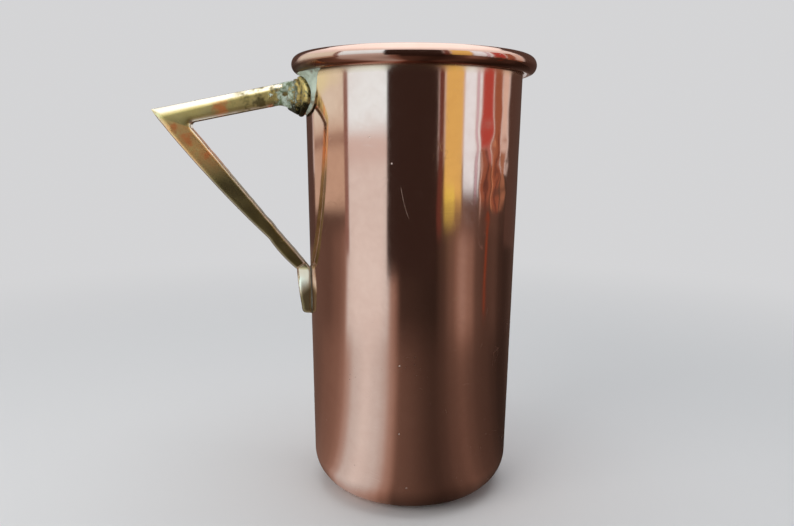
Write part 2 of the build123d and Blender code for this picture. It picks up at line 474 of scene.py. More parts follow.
# %% How far each point is filed back
tip_bevel = 4.4 * MM
boss_bevel = 2.2 * MM
bevel_share = 0.60
bevel_power = 1.7
roll_width = 2.3 * MM
roll_depth = 0.9 * MM
strut_roll_width = 1.3 * MM
strut_roll_depth = 0.55 * MM
palm_tilt = 0.50
palm_line_slope = 0.7


def distance_to_line(points, line):
    """Distance of each side-view point to the nearest stretch of a closed outline."""
    nearest = np.full(len(points), np.inf)
    for start, end in zip(line, line[1:] + line[:1]):
        first = np.array(start)
        run = np.array(end) - first
        share = np.clip((points - first) @ run / max(run @ run, 1e-12), 0, 1)
        nearest = np.minimum(nearest, np.linalg.norm(points - first - share[:, None] * run, axis=1))
    return nearest


def ramp(low, high, value):
    """The soft step again, for a whole array of values."""
    share = np.clip((value - low) / (high - low), 0, 1)
    return share * share * (3 - 2 * share)


def section_drop(out, z, outline):
    """How much each side of the handle is filed back from its full width, point by point."""
    under_top = (arm_top(out) - z) * arm_cosine
    on_arm = ramp(arm_depth + 1.5 * MM, arm_depth, under_top)
    width = strut_roll_width + (roll_width - strut_roll_width) * on_arm
    edge = np.clip(1 - distance_to_line(np.column_stack((out, z)), outline) / width, 0, 1)
    rolled = (strut_roll_depth + (roll_depth - strut_roll_depth) * on_arm) * edge ** 2
    along = np.clip((out - boss_face) / (tip_out - boss_face), 0, 1)
    bevel = boss_bevel + (tip_bevel - boss_bevel) * along
    shoulder = np.clip(1 - under_top / bevel, 0, 1)
    knee_out = wall_out(palm_top_z) + palm_top_thickness
    palm_line = palm_top_z + palm_line_slope * (knee_out - out)
    palm = ramp(palm_line + 0.2 * MM, palm_line - 0.5 * MM, z)
    palm *= ramp(palm_top_z - 10 * MM, palm_top_z - 2 * MM, z)
    from_wall = np.clip(out - wall_out(z) - 0.6 * MM, 0, 6 * MM)
    return rolled + bevel_share * bevel * shoulder ** bevel_power + palm_tilt * palm * from_wall


# %% Solid handle with filed shoulders
voxel = 0.25 * MM
least_half_width = 0.5 * MM
softening_rounds = 5


def thick_outline(name, outline):
    """The side view drawn out to the handle's full width, as a closed mesh."""
    bm = bmesh.new()
    front = [bm.verts.new((-p.x, -handle_width / 2, p.y)) for p in outline]
    face = bm.faces.new(front)
    grown = bmesh.ops.extrude_face_region(bm, geom=[face])["geom"]
    far = [v for v in grown if isinstance(v, bmesh.types.BMVert)]
    bmesh.ops.translate(bm, verts=far, vec=(0, handle_width, 0))
    bmesh.ops.recalc_face_normals(bm, faces=bm.faces)
    mesh = bpy.data.meshes.new(name)
    bm.to_mesh(mesh)
    bm.free()
    piece = bpy.data.objects.new(name, mesh)
    scene.collection.objects.link(piece)
    return piece


def make_handle():
    outline = handle_outline()
    piece = thick_outline("brass_handle", outline)
    remesh = piece.modifiers.new("skin", "REMESH")
    remesh.mode = "VOXEL"
    remesh.voxel_size = voxel
    apply_modifiers(piece)
    places = np.empty(len(piece.data.vertices) * 3)
    piece.data.vertices.foreach_get("co", places)
    places = places.reshape(-1, 3)
    drop = section_drop(-places[:, 0], places[:, 2], outline)
    places[:, 1] *= np.maximum(handle_width / 2 - drop, least_half_width) / (handle_width / 2)
    piece.data.vertices.foreach_set("co", places.ravel())
    soften = piece.modifiers.new("soften", "SMOOTH")
    soften.factor = 0.5
    soften.iterations = softening_rounds
    apply_modifiers(piece)
    return piece


brass_handle = make_handle()
print("handle skin:", len(brass_handle.data.polygons), "faces")

# %% [markdown]
# ## Wear and painted light on the handle
# Hands keep the edges bright, with a painted highlight along them, and damp has eaten the arm
# beside the boss. The strut darkens down to the palm and the arm towards its lower edge, partly
# tarnish and partly painted shade, and the faces towards the wall get painted shade. Where the
# zinc has left the brass it shows red in patches. Each of these is a sum of soft steps and noise
# over the side view, painted as a mask on the handle's points.

# %% Where the handle is arm, strut or palm


def strut_share(place):
    """0 on the arm, 1 on the strut and palm: whichever middle line is nearer."""
    knee = Vector((wall_out(palm_top_z) + 2 * MM, palm_top_z))
    corner = Vector((tip_out - corner_inset / 2, arm_under(tip_out - corner_inset / 2)))
    down = (knee - corner).normalized()
    off = Vector((-place.x, place.z)) - corner
    from_strut = abs(off.x * down.y - off.y * down.x)
    from_arm = abs(place.z - (arm_under(-place.x) + arm_depth / 2))
    return smooth_step(-0.4 * MM, 0.4 * MM, from_arm - from_strut), down


def polishing_way(place, share, down):
    """The point's place measured along the arm or the strut, so that filing lines run lengthwise."""
    out = -place.x
    along_arm = Vector((out - arm_slope * place.z, place.y, place.z + arm_slope * out))
    along_strut = Vector((out * down.x + place.z * down.y, place.y, out * down.y - place.z * down.x))
    return along_arm.lerp(along_strut, round(share))


# %% Crust, dirt with painted shade, and red patches
crust_reach = 15 * MM
dirt_start = 9 * MM
dirt_reach = 33 * MM
coppery_patches = [
    # out from the axis, height off the boss's middle and width, in millimetres
    (77.0, -5.4, 2.9),
    (90.6, -17.4, 3.1),
    (83.2, -23.3, 2.4),
    (95.2, -13.0, 2.0),
    (58.0, -4.5, 1.2),
]


def crust_amount(place):
    """Where corrosion has grown on the arm, from 0 to 1: thick by the boss, gone at mid arm."""
    out = -place.x
    if place.z < arm_under(out) - 4 * MM:
        return 0.0
    near_boss = 1 - smooth_step(boss_face - 0.5 * MM, boss_face + crust_reach, out)
    lumps = noise.noise(place / (2.1 * MM)) + 0.25 * noise.noise(place / (0.8 * MM))
    return held(near_boss * 1.35 - 0.62 + lumps * 0.72)


def dirt_and_shade_amount(place):
    """Dark olive blotches on the arm: many by the boss, fewer towards its middle, with painted shade adding
    to them towards the arm's lower side.
    """
    out = -place.x
    depth = (arm_top(out) - place.z) / arm_depth
    if depth > 1.6:
        return 0.0
    spread = 1 - smooth_step(boss_face + dirt_start, boss_face + dirt_reach, out)
    blotches = noise.noise(place / (3.2 * MM) + Vector((5, 2, 9))) + 0.5 * noise.noise(place / (1.0 * MM))
    # painted shade: more darkening towards the arm's lower side
    low_side = 0.25 * smooth_step(0.30, 1.0, depth) - 0.10
    return held(spread * (0.40 + low_side + blotches * 1.3))


def coppery_amount(place, share):
    """Soft-edged patches, and a faint blush on the strut between them."""
    lumps = noise.noise(place / (2.2 * MM)) * 0.55 + noise.noise(place / (0.7 * MM)) * 0.25
    below_boss = (boss_z - place.z) / MM
    blush = share * smooth_step(7.0, 13.0, below_boss) * smooth_step(34.0, 24.0, below_boss)
    most = blush * held(0.42 + lumps * 0.5)
    for out, rise, width in coppery_patches:
        off = math.hypot(-place.x - out * MM, place.z - boss_z - rise * MM) / (width * MM)
        most = max(most, smooth_step(1.45, 0.25, off + lumps))
    return most


# %% Dark and bright brass, with painted shade and painted highlight
strut_dark_start = 50 * MM
strut_dark_full = 33 * MM
# age holds tarnish with painted shade; the rubbed edges carry a painted highlight
handle_masks = ("crust", "grime_and_shade", "satin", "age", "coppery", "rubbed_and_highlight")


def darkening(place, share):
    """How dark the brass is painted, partly tarnish and partly painted shade: under the arm, down the strut
    and on the palm's end.
    """
    out = -place.x
    on_palm = smooth_step(palm_top_z + 1 * MM, palm_top_z - 1 * MM, place.z)
    depth = (arm_top(out) - place.z) * arm_cosine / arm_depth
    cloud = noise.noise(place / (5 * MM)) * 0.16
    # painted shade with tarnish: the arm's face darker towards its lower edge, the strut towards the palm
    on_arm = 0.62 * smooth_step(0.48 + cloud, 1.05 + cloud, depth)
    lower = smooth_step(palm_top_z + strut_dark_start, palm_top_z + strut_dark_full, place.z)
    down_strut = 0.03 + 0.6 * cloud + 0.93 * lower
    outness = (out - wall_out(place.z)) / palm_top_thickness
    on_end = smooth_step(4.0 * MM, 9.0 * MM, palm_top_z - place.z - 4.6 * MM * outness)
    off_palm = on_arm * (1 - share) + down_strut * share
    return held(off_palm * (1 - on_palm) + on_end * 0.92 * on_palm), on_palm


def handle_wear(place, normal, share):
    """The masks at one point, in the order of handle_masks: edges rubbed bright with a painted highlight,
    and painted shade on the faces towards the wall.
    """
    dark, on_palm = darkening(place, share)
    dirt_and_shade = dirt_and_shade_amount(place)
    flat = smooth_step(0.80, 0.97, abs(normal.y))
    # painted highlight: the strut's inner edge is kept brighter than its outer one
    outer_edge = smooth_step(-0.1, -0.5, normal.x) * share
    # painted shade on the arm's underside and on the strut's side that faces the wall
    towards_gap = smooth_step(0.1, 0.4, normal.x) * share + smooth_step(-0.1, -0.4, normal.z) * (1 - share)
    inner_face = towards_gap * smooth_step(0.78, 0.50, abs(normal.y)) * (1 - on_palm)
    edge_rub_and_highlight = (1 - flat) * (1 - 0.62 * outer_edge) * (1 - 0.8 * on_palm * dark) * (1 - dirt_and_shade)
    edge_rub_and_highlight *= 1 - inner_face
    # age holds tarnish, dirt and painted shade
    age = max(dark, dirt_and_shade * 0.88, 0.88 * inner_face)
    rubbed_and_highlight = max(edge_rub_and_highlight, on_palm * (1 - dark) * 0.9)
    return crust_amount(place), 0.30 * dirt_and_shade, max(flat, inner_face), age, coppery_amount(place, share), rubbed_and_highlight


# %% [markdown]
# ## Skin of the casting
# No casting is quite even. A slow wave runs over all of it, the strut's inner edge is a little
# kinked, and crust stands proud where it grows. The points are moved along their normals by the
# same masks that colour them, so that relief and colour agree.

# %% Paint the handle and roughen its skin
wave_height = 0.05 * MM
kink_height = 0.26 * MM
crust_rise = 0.20 * MM
filed_off = 0.03 * MM


def work_handle(piece):
    """Lays a slow wave over the skin, kinks the strut's inner edge and grows the crust."""
    mesh = piece.data
    rows, ways, moved = [], [], []
    for vertex in mesh.vertices:
        place = vertex.co
        share, down = strut_share(place)
        wear = handle_wear(place, vertex.normal, share)
        wave = noise.noise(place / (9 * MM)) * wave_height
        kinks = noise.noise(Vector((place.z / (2.6 * MM), 0.5, 2.0))) * kink_height * share
        kinks *= max(0.0, vertex.normal.x)
        rows.append(wear)
        ways.extend(polishing_way(place, share, down))
        moved.append(place + vertex.normal * (wave + kinks + wear[0] * crust_rise - filed_off))
    paint_points(mesh, handle_masks, rows)
    mesh.attributes.new("lengthwise", "FLOAT_VECTOR", "POINT").data.foreach_set("vector", ways)
    for vertex, place in zip(mesh.vertices, moved):
        vertex.co = place


work_handle(brass_handle)
finish_piece(brass_handle, "cast_brass", "handle_casting")

# %% [markdown]
# ## Boss
# The collar is an oval stack of rings that hugs the wall, so it isn't a plain lathe shape: each
# course of points is an oval laid over a cylinder one step further out. Rings and grooves come
# from the list of courses, and a little unevenness keeps it from looking machined.

# %% Boss rings
boss_columns = 128
boss_unevenness = 0.12 * MM
flange_half_width = 16.2 * MM
flange_half_height = 7.9 * MM
flange_front = 2.6 * MM
ring_filling = 7.6 * MM
boss_courses = [
    # offset from the wall, half width, half height, how far the oval is lifted; all in millimetres
    (-0.3, 14.6, 7.0, 0.0), (0.75, 14.8, 7.1, 0.0), (0.85, 15.4, 7.4, 0.0), (1.0, 15.9, 7.7, -0.1),
    (1.5, 16.1, 7.85, -0.1), (2.1, 16.2, 7.9, -0.1), (2.6, 16.0, 7.8, -0.1), (2.9, 15.5, 7.6, 0.0),
    (3.0, 14.6, 7.35, 0.0), (3.0, 12.6, 7.0, 0.1), (2.9, 10.2, 6.8, 0.2), (2.75, 9.2, 6.6, 0.2),
    (2.9, 8.7, 6.5, 0.2), (3.3, 8.7, 6.6, 0.3), (3.9, 8.6, 6.6, 0.3), (4.4, 8.3, 6.4, 0.3),
    (4.65, 7.7, 6.1, 0.4), (4.6, 6.9, 5.8, 0.4), (4.5, 6.5, 5.6, 0.5), (4.8, 6.3, 5.5, 0.6),
    (5.4, 6.2, 5.5, 0.7), (5.9, 5.8, 5.2, 0.8), (6.2, 5.2, 4.9, 0.9), (6.7, 4.6, 4.6, 1.0),
    (7.4, 4.1, 4.2, 1.1),
]


def oval_course(offset, half_width, half_height, lift):
    """One closed course of points round an oval, laid over the wall at the given offset."""
    course = []
    filled = ring_filling - 0.55 * max(0.0, offset - flange_front)
    for step in range(boss_columns):
        angle = 2 * math.pi * step / boss_columns
        below = smooth_step(0.55, 0.95, -math.sin(angle)) * smooth_step(2.4 * MM, 3.2 * MM, offset)
        y = half_width * math.cos(angle)
        z = boss_z + (lift + half_height * math.sin(angle)) * (1 - below) - filled * below
        radius = wall_out(z) + offset
        radius += boss_unevenness * noise.noise(Vector((y, offset * 2, z)) / (1.6 * MM))
        course.append(Vector((-math.sqrt(max(radius * radius - y * y, 0.0)), y, z)))
    return course


def make_boss():
    points = []
    for course in boss_courses:
        points += oval_course(*(size * MM for size in course))
    faces = grid_faces(len(boss_courses), boss_columns, close_columns=True)
    for first in (0, (len(boss_courses) - 1) * boss_columns):
        middle = len(points)
        points.append(sum((points[first + step] for step in range(boss_columns)), Vector()) / boss_columns)
        for step in range(boss_columns):
            faces.append((first + step, first + (step + 1) % boss_columns, middle))
    piece = add_mesh("ringed_boss", points, faces)
    outward_normals(piece)
    piece.modifiers.new("round", "SUBSURF").levels = 1
    apply_modifiers(piece)
    return piece


ringed_boss = make_boss()
finish_piece(ringed_boss, "cast_brass", "handle_boss")

# %% [markdown]
# ## Solder and verdigris
# Solder was run round the boss up to the rim, and years of damp have turned it pale green.
# The patch is a grid over a shield-shaped part of the wall. Its height over the wall is worked out
# at each point: thin at the shield's edge, thick against the boss and under the rim, with lumps.

# %% Outline and thickness of the crust
thinnest_crust = 0.04
shield_rows = [
    # height over the boss's middle and half width, millimetres
    (-7.4, 5.0), (-6.6, 9.4), (-5.2, 12.9), (-3.0, 15.7), (-1.1, 17.1), (1.2, 18.2), (3.4, 18.7),
    (5.9, 19.2), (8.0, 20.2), (9.4, 22.4),
]


def shield_half_width(z):
    rows = [(boss_z + height * MM, width * MM) for height, width in shield_rows]
    for (z0, w0), (z1, w1) in zip(rows, rows[1:]):
        if z <= z1:
            return w0 + (w1 - w0) * (z - z0) / (z1 - z0)
    return rows[-1][1]


def crust_height(across, z, edge):
    """Thickness of the crust over the wall; edge is 0 at the shield's edge and 1 well inside."""
    oval = math.hypot(across / flange_half_width, (z - boss_z + 0.1 * MM) / flange_half_height)
    by_boss = 1 - smooth_step(0.95, 1.16, oval)
    under_rim = smooth_step(bead_bottom - 2.2 * MM, bead_bottom + 1.0 * MM, z)
    spread = 1 - smooth_step(6 * MM, 21 * MM, abs(across))
    place = Vector((across, z, 0))
    lumps = noise.noise(place / (2.3 * MM)) * 0.5 + noise.noise(place / (0.9 * MM)) * 0.25
    height = 0.34 + 0.22 * lumps + 0.75 * by_boss + under_rim * (0.8 + 2.4 * spread)
    return max(thinnest_crust, height) * MM * smooth_step(0.0, 1.0, edge)


print("half width at the boss", round(shield_half_width(boss_z) / MM, 1), "mm")

# %% Verdigris shield
shield_columns = 170
shield_courses = 80
edge_wander = 0.7 * MM
edge_slope = 1.6 * MM
shield_depth = 0.25 * MM


def shield_edge():
    """Numbers of the grid's outermost points, once round."""
    last = (shield_courses - 1) * shield_columns
    edge = list(range(shield_columns))
    edge += [row * shield_columns + shield_columns - 1 for row in range(1, shield_courses)]
    edge += [last + column for column in range(shield_columns - 2, -1, -1)]
    edge += [row * shield_columns for row in range(shield_courses - 2, 0, -1)]
    return edge


def make_shield():
    low = boss_z + shield_rows[0][0] * MM
    high = boss_z + shield_rows[-1][0] * MM
    outer, inner = [], []
    for row in range(shield_courses):
        z = low + (high - low) * row / (shield_courses - 1)
        half = shield_half_width(z)
        for column in range(shield_columns):
            u = 2 * column / (shield_columns - 1) - 1
            wander = noise.noise(Vector((u * 3, z / (3 * MM), 4))) * edge_wander
            across = u * (half + wander * abs(u))
            from_side = (1 - abs(u)) * half / edge_slope
            from_low = (z - low) / edge_slope
            height = crust_height(across, z, min(from_side, from_low, 1.0))
            angle = across / wall_out(z)
            for points, r in ((outer, wall_out(z) + height), (inner, wall_out(z) - shield_depth)):
                points.append(Vector((-r * math.cos(angle), -r * math.sin(angle), z)))
    count = len(outer)
    faces = grid_faces(shield_courses, shield_columns)
    faces += [tuple(count + i for i in reversed(face)) for face in faces]
    edge = shield_edge()
    for here, there in zip(edge, edge[1:] + edge[:1]):
        faces.append((here, there, there + count, here + count))
    piece = add_mesh("verdigris_shield", outer + inner, faces)
    outward_normals(piece)
    return piece


verdigris_shield = make_shield()
finish_piece(verdigris_shield, "solder_verdigris", "boss_solder")

# %% [markdown]
# ## Node helpers
# Materials are small networks of nodes. A few helpers keep them readable: one adds a node and
# fills or links its inputs, one does sums, one lays a colour over another, and two open and close
# a node group with named inputs and outputs, so that an effect is built once and used often.

# %% Add nodes


def fill_sockets(tree, made, inputs):
    for socket, value in inputs.items():
        if isinstance(value, bpy.types.NodeSocket):
            tree.links.new(value, made.inputs[socket])
        else:
            made.inputs[socket].default_value = value
    return made


def add_node(tree, kind, inputs=None, **settings):
    made = tree.nodes.new("ShaderNode" + kind)
    for key, value in settings.items():
        setattr(made, key, value)
    return fill_sockets(tree, made, inputs or {})


def work_out(tree, operation, first, second=0.0, clamp=False):
    """One Math node; returns its result."""
    return add_node(tree, "Math", {0: first, 1: second}, operation=operation, use_clamp=clamp).outputs[0]


def vector_sum(tree, operation, inputs, result="Value"):
    return add_node(tree, "VectorMath", inputs, operation=operation).outputs[result]


def between(tree, value, low, high, to_low=0.0, to_high=1.0):
    """Value spread from low..high to to_low..to_high and held there."""
    sockets = {"Value": value, "From Min": low, "From Max": high, "To Min": to_low, "To Max": to_high}
    return add_node(tree, "MapRange", sockets).outputs["Result"]


def blend_colours(tree, share, first, second):
    mix = add_node(tree, "Mix", {0: share, 6: first, 7: second}, data_type="RGBA", blend_type="MIX")
    return mix.outputs[2]


# %% Open, close and use groups


def open_group(name, inputs, output):
    """An empty group with one vector input called Place, float inputs and one named output."""
    group = bpy.data.node_groups.new(name, "ShaderNodeTree")
    group.interface.new_socket("Place", in_out="INPUT", socket_type="NodeSocketVector")
    for socket, value in inputs.items():
        made = group.interface.new_socket(socket, in_out="INPUT", socket_type="NodeSocketFloat")
        made.default_value = value
    group.interface.new_socket(output, in_out="OUTPUT", socket_type="NodeSocketFloat")
    return group, group.nodes.new("NodeGroupInput").outputs


def close_group(group, result):
    group.links.new(result, group.nodes.new("NodeGroupOutput").inputs[0])
    print("group", group.name)
    return group


def use_group(tree, group, place, values):
    """Places a group in a material; returns its output."""
    made = tree.nodes.new("ShaderNodeGroup")
    made.node_tree = group
    return fill_sockets(tree, made, {"Place": place, **values}).outputs[0]


# %% [markdown]
# ## Shared effects
# Hand-polished metal carries four kinds of marks: fine parallel lines from the polishing cloth,
# broad clouds where the lustre changes, small dark specks of tarnish, and a few stray scratches.
# Each is a group that gives a mask or a height. The sizes of all of them are in millimetres.

# %% Polishing lines
MM_PER_METRE = 1000.0


def make_polish_lines():
    """Fine parallel lines; Along x, y and z say how far each way before they change."""
    group, given = open_group("polish_lines", {"Along x": 1.0, "Along y": 1.0, "Along z": 30.0}, "Height")
    finer = [work_out(group, "DIVIDE", MM_PER_METRE, given["Along " + axis]) for axis in "xyz"]
    scaled = add_node(group, "CombineXYZ", dict(enumerate(finer))).outputs[0]
    place = vector_sum(group, "MULTIPLY", {0: given["Place"], 1: scaled}, 0)
    lines = add_node(group, "TexNoise", {"Vector": place, "Scale": 1.0, "Detail": 3.0, "Roughness": 0.7})
    return close_group(group, lines.outputs["Fac"])


polish_lines = make_polish_lines()

# %% Clouds


def make_clouds():
    """Broad soft patches; Size is how wide they are, Contrast how sharp their edges are."""
    group, given = open_group("clouds", {"Size": 20.0, "Contrast": 0.3, "Level": 0.5}, "Mask")
    scale = work_out(group, "DIVIDE", MM_PER_METRE, given["Size"])
    sockets = {"Vector": given["Place"], "Scale": scale, "Detail": 5.0, "Roughness": 0.6, "Distortion": 0.4}
    patches = add_node(group, "TexNoise", sockets)
    low = work_out(group, "SUBTRACT", given["Level"], given["Contrast"])
    high = work_out(group, "ADD", given["Level"], given["Contrast"])
    return close_group(group, between(group, patches.outputs["Fac"], low, high))


clouds = make_clouds()

# %% Specks


def make_specks():
    """Small dark pits of tarnish; Size is their spacing, Share the part of it that is dark."""
    group, given = open_group("specks", {"Size": 1.6, "Share": 0.16, "Patchiness": 0.5}, "Mask")
    scale = work_out(group, "DIVIDE", MM_PER_METRE, given["Size"])
    broader = work_out(group, "MULTIPLY", scale, 0.13)
    cells = add_node(group, "TexVoronoi", {"Vector": given["Place"], "Scale": scale, "Randomness": 1.0})
    patchy = add_node(group, "TexNoise", {"Vector": given["Place"], "Scale": broader, "Detail": 2.0})
    spared = work_out(group, "SUBTRACT", patchy.outputs["Fac"], given["Patchiness"])
    size = work_out(group, "MULTIPLY", work_out(group, "MULTIPLY", spared, 4.0, clamp=True), given["Share"])
    mask = between(group, cells.outputs["Distance"], size, work_out(group, "MULTIPLY", size, 0.55))
    there = work_out(group, "GREATER_THAN", spared, 0.004)
    return close_group(group, work_out(group, "MULTIPLY", mask, there))


specks = make_specks()

# %% Scratches


def make_scratches():
    """A few thin stray lines in changing directions; Size is their spacing."""
    group, given = open_group("scratches", {"Size": 14.0, "Width": 0.006}, "Mask")
    scale = work_out(group, "DIVIDE", MM_PER_METRE, given["Size"])
    finer = work_out(group, "MULTIPLY", scale, 2.3)
    sockets = {"Vector": given["Place"], "Scale": scale, "Detail": 1.0, "Distortion": 1.2}
    paths = add_node(group, "TexNoise", sockets)
    breaks = add_node(group, "TexNoise", {"Vector": given["Place"], "Scale": finer, "Detail": 2.0})
    off = work_out(group, "ABSOLUTE", work_out(group, "SUBTRACT", paths.outputs["Fac"], 0.5))
    line = between(group, off, 0.0, given["Width"], 1.0, 0.0)
    kept = between(group, breaks.outputs["Fac"], 0.56, 0.64)
    return close_group(group, work_out(group, "MULTIPLY", line, kept))


scratches = make_scratches()

# %% Short names for the groups in use


def lines_along(tree, place, x, y, z):
    return use_group(tree, polish_lines, place, {"Along x": x, "Along y": y, "Along z": z})


def cloudy(tree, place, size, contrast, level=0.5):
    return use_group(tree, clouds, place, {"Size": size, "Contrast": contrast, "Level": level})


def specked(tree, place, size, share, patchiness):
    return use_group(tree, specks, place, {"Size": size, "Share": share, "Patchiness": patchiness})


def scratched(tree, place, size, width):
    return use_group(tree, scratches, place, {"Size": size, "Width": width})


# %% [markdown]
# ## Copper finishes
# Old polished copper is pinkish brown, not orange. Its colour comes from the metal's
# own reflection, so Metallic is 1 and Base Color says which part of the light comes back.
# The outside is bright with fine upright lines, the inside is duller with water marks, and the
# underside shows rings from turning and scuffs from the table.

# %% Parts of every finish
MICRON = 0.000001


def new_material(name):
    """A material with its tree and its shader."""
    material = bpy.data.materials.new(name)
    material.use_nodes = True
    tree = material.node_tree
    return material, tree, tree.nodes["Principled BSDF"]


def new_metal(name, metallic=1.0):
    """A material with its tree, its shader and the object's coordinates."""
    material, tree, shader = new_material(name)
    shader.inputs["Metallic"].default_value = metallic
    return material, tree, shader, add_node(tree, "TexCoord").outputs["Object"]


def read_mask(tree, name):
    """A value painted on the mesh's points."""
    return add_node(tree, "Attribute", attribute_name=name).outputs["Fac"]


def lay_over(tree, colour, *layers):
    """Colours laid one over another: each has a mask, how strongly it covers, and a colour."""
    for mask, share, new in layers:
        colour = blend_colours(tree, work_out(tree, "MULTIPLY", mask, share), colour, new)
    return colour


def add_up(tree, start, *terms):
    """Start plus each mask times its amount, held between 0 and 1."""
    total = start
    for mask, amount in terms:
        total = work_out(tree, "ADD", work_out(tree, "MULTIPLY", mask, amount), total, clamp=True)
    return total


def stack_bumps(tree, *bumps):
    """Bumps laid one over another: each has a height from 0 to 1 and a depth in microns."""
    sockets = {"Strength": 1.0}
    for height, depth in bumps:
        bump = add_node(tree, "Bump", {**sockets, "Height": height, "Distance": depth * MICRON})
        sockets["Normal"] = bump.outputs["Normal"]
    return sockets["Normal"]


def link_finish(tree, shader, colour, rough, normal):
    for socket, value in (("Base Color", colour), ("Roughness", rough), ("Normal", normal)):
        tree.links.new(value, shader.inputs[socket])


# %% Colours of copper, linear
bright_copper = (0.90, 0.60, 0.49, 1)
brown_copper = (0.68, 0.38, 0.29, 1)
# painted shade for the lower half of the rim's bead
bead_shade_brown = (0.34, 0.15, 0.10, 1)
golden_copper = (0.93, 0.63, 0.37, 1)
nick_pink = (0.96, 0.82, 0.74, 1)
dark_oxide = (0.085, 0.045, 0.032, 1)
dull_copper = (0.54, 0.34, 0.27, 1)
pale_inside = (0.76, 0.52, 0.43, 1)
water_mark = (0.70, 0.54, 0.46, 1)
green_stain = (0.16, 0.22, 0.15, 1)

# %% One long scratch and a few nicks
scratch_across = (0.974, -0.225, 0.0)
scratch_height = 125 * MM
scratch_bend = 10.3
scratch_lean = 0.252
scratch_shift = 0.36 * MM
scratch_lift = 0.5 * MM
nicks = [
    # degrees from +X, height and radius in millimetres
    (-109.4, 138.7, 0.34),
    (-120.3, 148.0, 0.30),
    (-105.1, 63.2, 0.36),
    (-105.1, 35.9, 0.32),
    (-100.9, 13.7, 0.42),
]


def long_scratch(tree, place):
    """A curved scratch on the front, found from how far a point lies off a bent line."""
    given = add_node(tree, "SeparateXYZ", {0: place}).outputs
    aside = vector_sum(tree, "DOT_PRODUCT", {0: place, 1: scratch_across})
    rise = work_out(tree, "SUBTRACT", given["Z"], scratch_height)
    bent = work_out(tree, "SUBTRACT", work_out(tree, "MULTIPLY", rise, scratch_bend), scratch_lean)
    off = work_out(tree, "SUBTRACT", aside, work_out(tree, "MULTIPLY", bent, rise))
    off = work_out(tree, "ABSOLUTE", work_out(tree, "ADD", off, scratch_shift))
    line = between(tree, off, 0.04 * MM, 0.18 * MM, 1.0, 0.0)
    from_middle = work_out(tree, "ABSOLUTE", work_out(tree, "ADD", rise, scratch_lift))
    ends = between(tree, from_middle, 6.8 * MM, 4.5 * MM)
    front = work_out(tree, "LESS_THAN", given["Y"], 0.0)
    return work_out(tree, "MULTIPLY", work_out(tree, "MULTIPLY", line, ends), front)


def nick_mask(tree, place):
    most = 0.0
    for degrees, height, radius in nicks:
        angle = math.radians(degrees)
        out = wall_out(height * MM)
        spot = (out * math.cos(angle), out * math.sin(angle), height * MM)
        off = vector_sum(tree, "DISTANCE", {0: place, 1: spot})
        near = between(tree, off, radius * 0.5 * MM, radius * MM, 1.0, 0.0)
        most = work_out(tree, "MAXIMUM", near, most)
    return most


# %% [markdown]
# ## Outside of the jug
# A polished wall shows age in layers: a brown film in clouds, painted shade on the lower half of the
# rim's bead, golden heat colours beside the solder, oxide in corner and specks. Each layer is
# laid over the last by its mask, and the same masks make the metal duller where they lie.

# %% Outside of the jug
# under_rim holds painted shade for the lower half of the rim's bead
body_masks = ("heat_tint", "tarnish", "under_rim")


def make_outside_copper():
    material, tree, shader, place = new_metal("polished_copper")
    film = cloudy(tree, place, 34.0, 0.22)
    small_film = cloudy(tree, place, 5.0, 0.18, 0.56)
    upright = lines_along(tree, place, 0.55, 0.55, 26.0)
    around = lines_along(tree, place, 30.0, 30.0, 0.45)
    dark_specks = specked(tree, place, 2.1, 0.15, 0.53)
    short_ones = work_out(tree, "MULTIPLY", scratched(tree, place, 16.0, 0.004), 0.45)
    stray = work_out(tree, "MAXIMUM", short_ones, long_scratch(tree, place))
    nicked = nick_mask(tree, place)
    heat, tarnish, under_rim = (read_mask(tree, name) for name in body_masks)
    low_down = between(tree, add_node(tree, "SeparateXYZ", {0: place}).outputs["Z"], 0.115, 0.02)
    # under_rim lays painted shade over the lower half of the rim's bead
    colour = lay_over(
        tree, bright_copper, (film, 0.30, brown_copper), (small_film, 0.16, brown_copper),
        (under_rim, 0.85, bead_shade_brown), (heat, 1.0, golden_copper), (tarnish, 1.0, dark_oxide),
        (dark_specks, 0.75, dark_oxide), (nicked, 0.7, nick_pink))
    rough = add_up(
        tree, 0.065, (low_down, 0.085), (film, 0.03), (small_film, 0.035), (dark_specks, 0.4),
        (tarnish, 0.35), (heat, 0.12), (nicked, 0.55), (stray, 0.35))
    normal = stack_bumps(tree, (upright, 1.6), (around, 1.2), (stray, 4), (dark_specks, -8), (nicked, -80))
    link_finish(tree, shader, colour, rough, normal)
    return material


outside_copper = make_outside_copper()

# %% [markdown]
# ## Inside and underside
# Nobody polishes inside a jug. Its copper is paler and duller there, with marks left by water and a
# green stain round the stud's burr. The base keeps the lathe's rings, crossed by scuffs.

# %% Inside and underside of the jug
rings_per_metre = 2400.0


def make_inside_copper():
    material, tree, shader, place = new_metal("inside_copper")
    film = cloudy(tree, place, 22.0, 0.26)
    marks = cloudy(tree, place, 7.0, 0.16, 0.62)
    around = lines_along(tree, place, 24.0, 24.0, 0.6)
    dark_specks = specked(tree, place, 2.6, 0.2, 0.48)
    colour = lay_over(
        tree, pale_inside, (film, 1.0, dull_copper), (marks, 0.4, water_mark),
        (dark_specks, 0.8, dark_oxide), (read_mask(tree, "tarnish"), 1.0, green_stain))
    rough = add_up(tree, 0.26, (film, 0.12), (marks, 0.10), (dark_specks, 0.3))
    normal = stack_bumps(tree, (around, 6), (marks, 3))
    link_finish(tree, shader, colour, rough, normal)
    return material


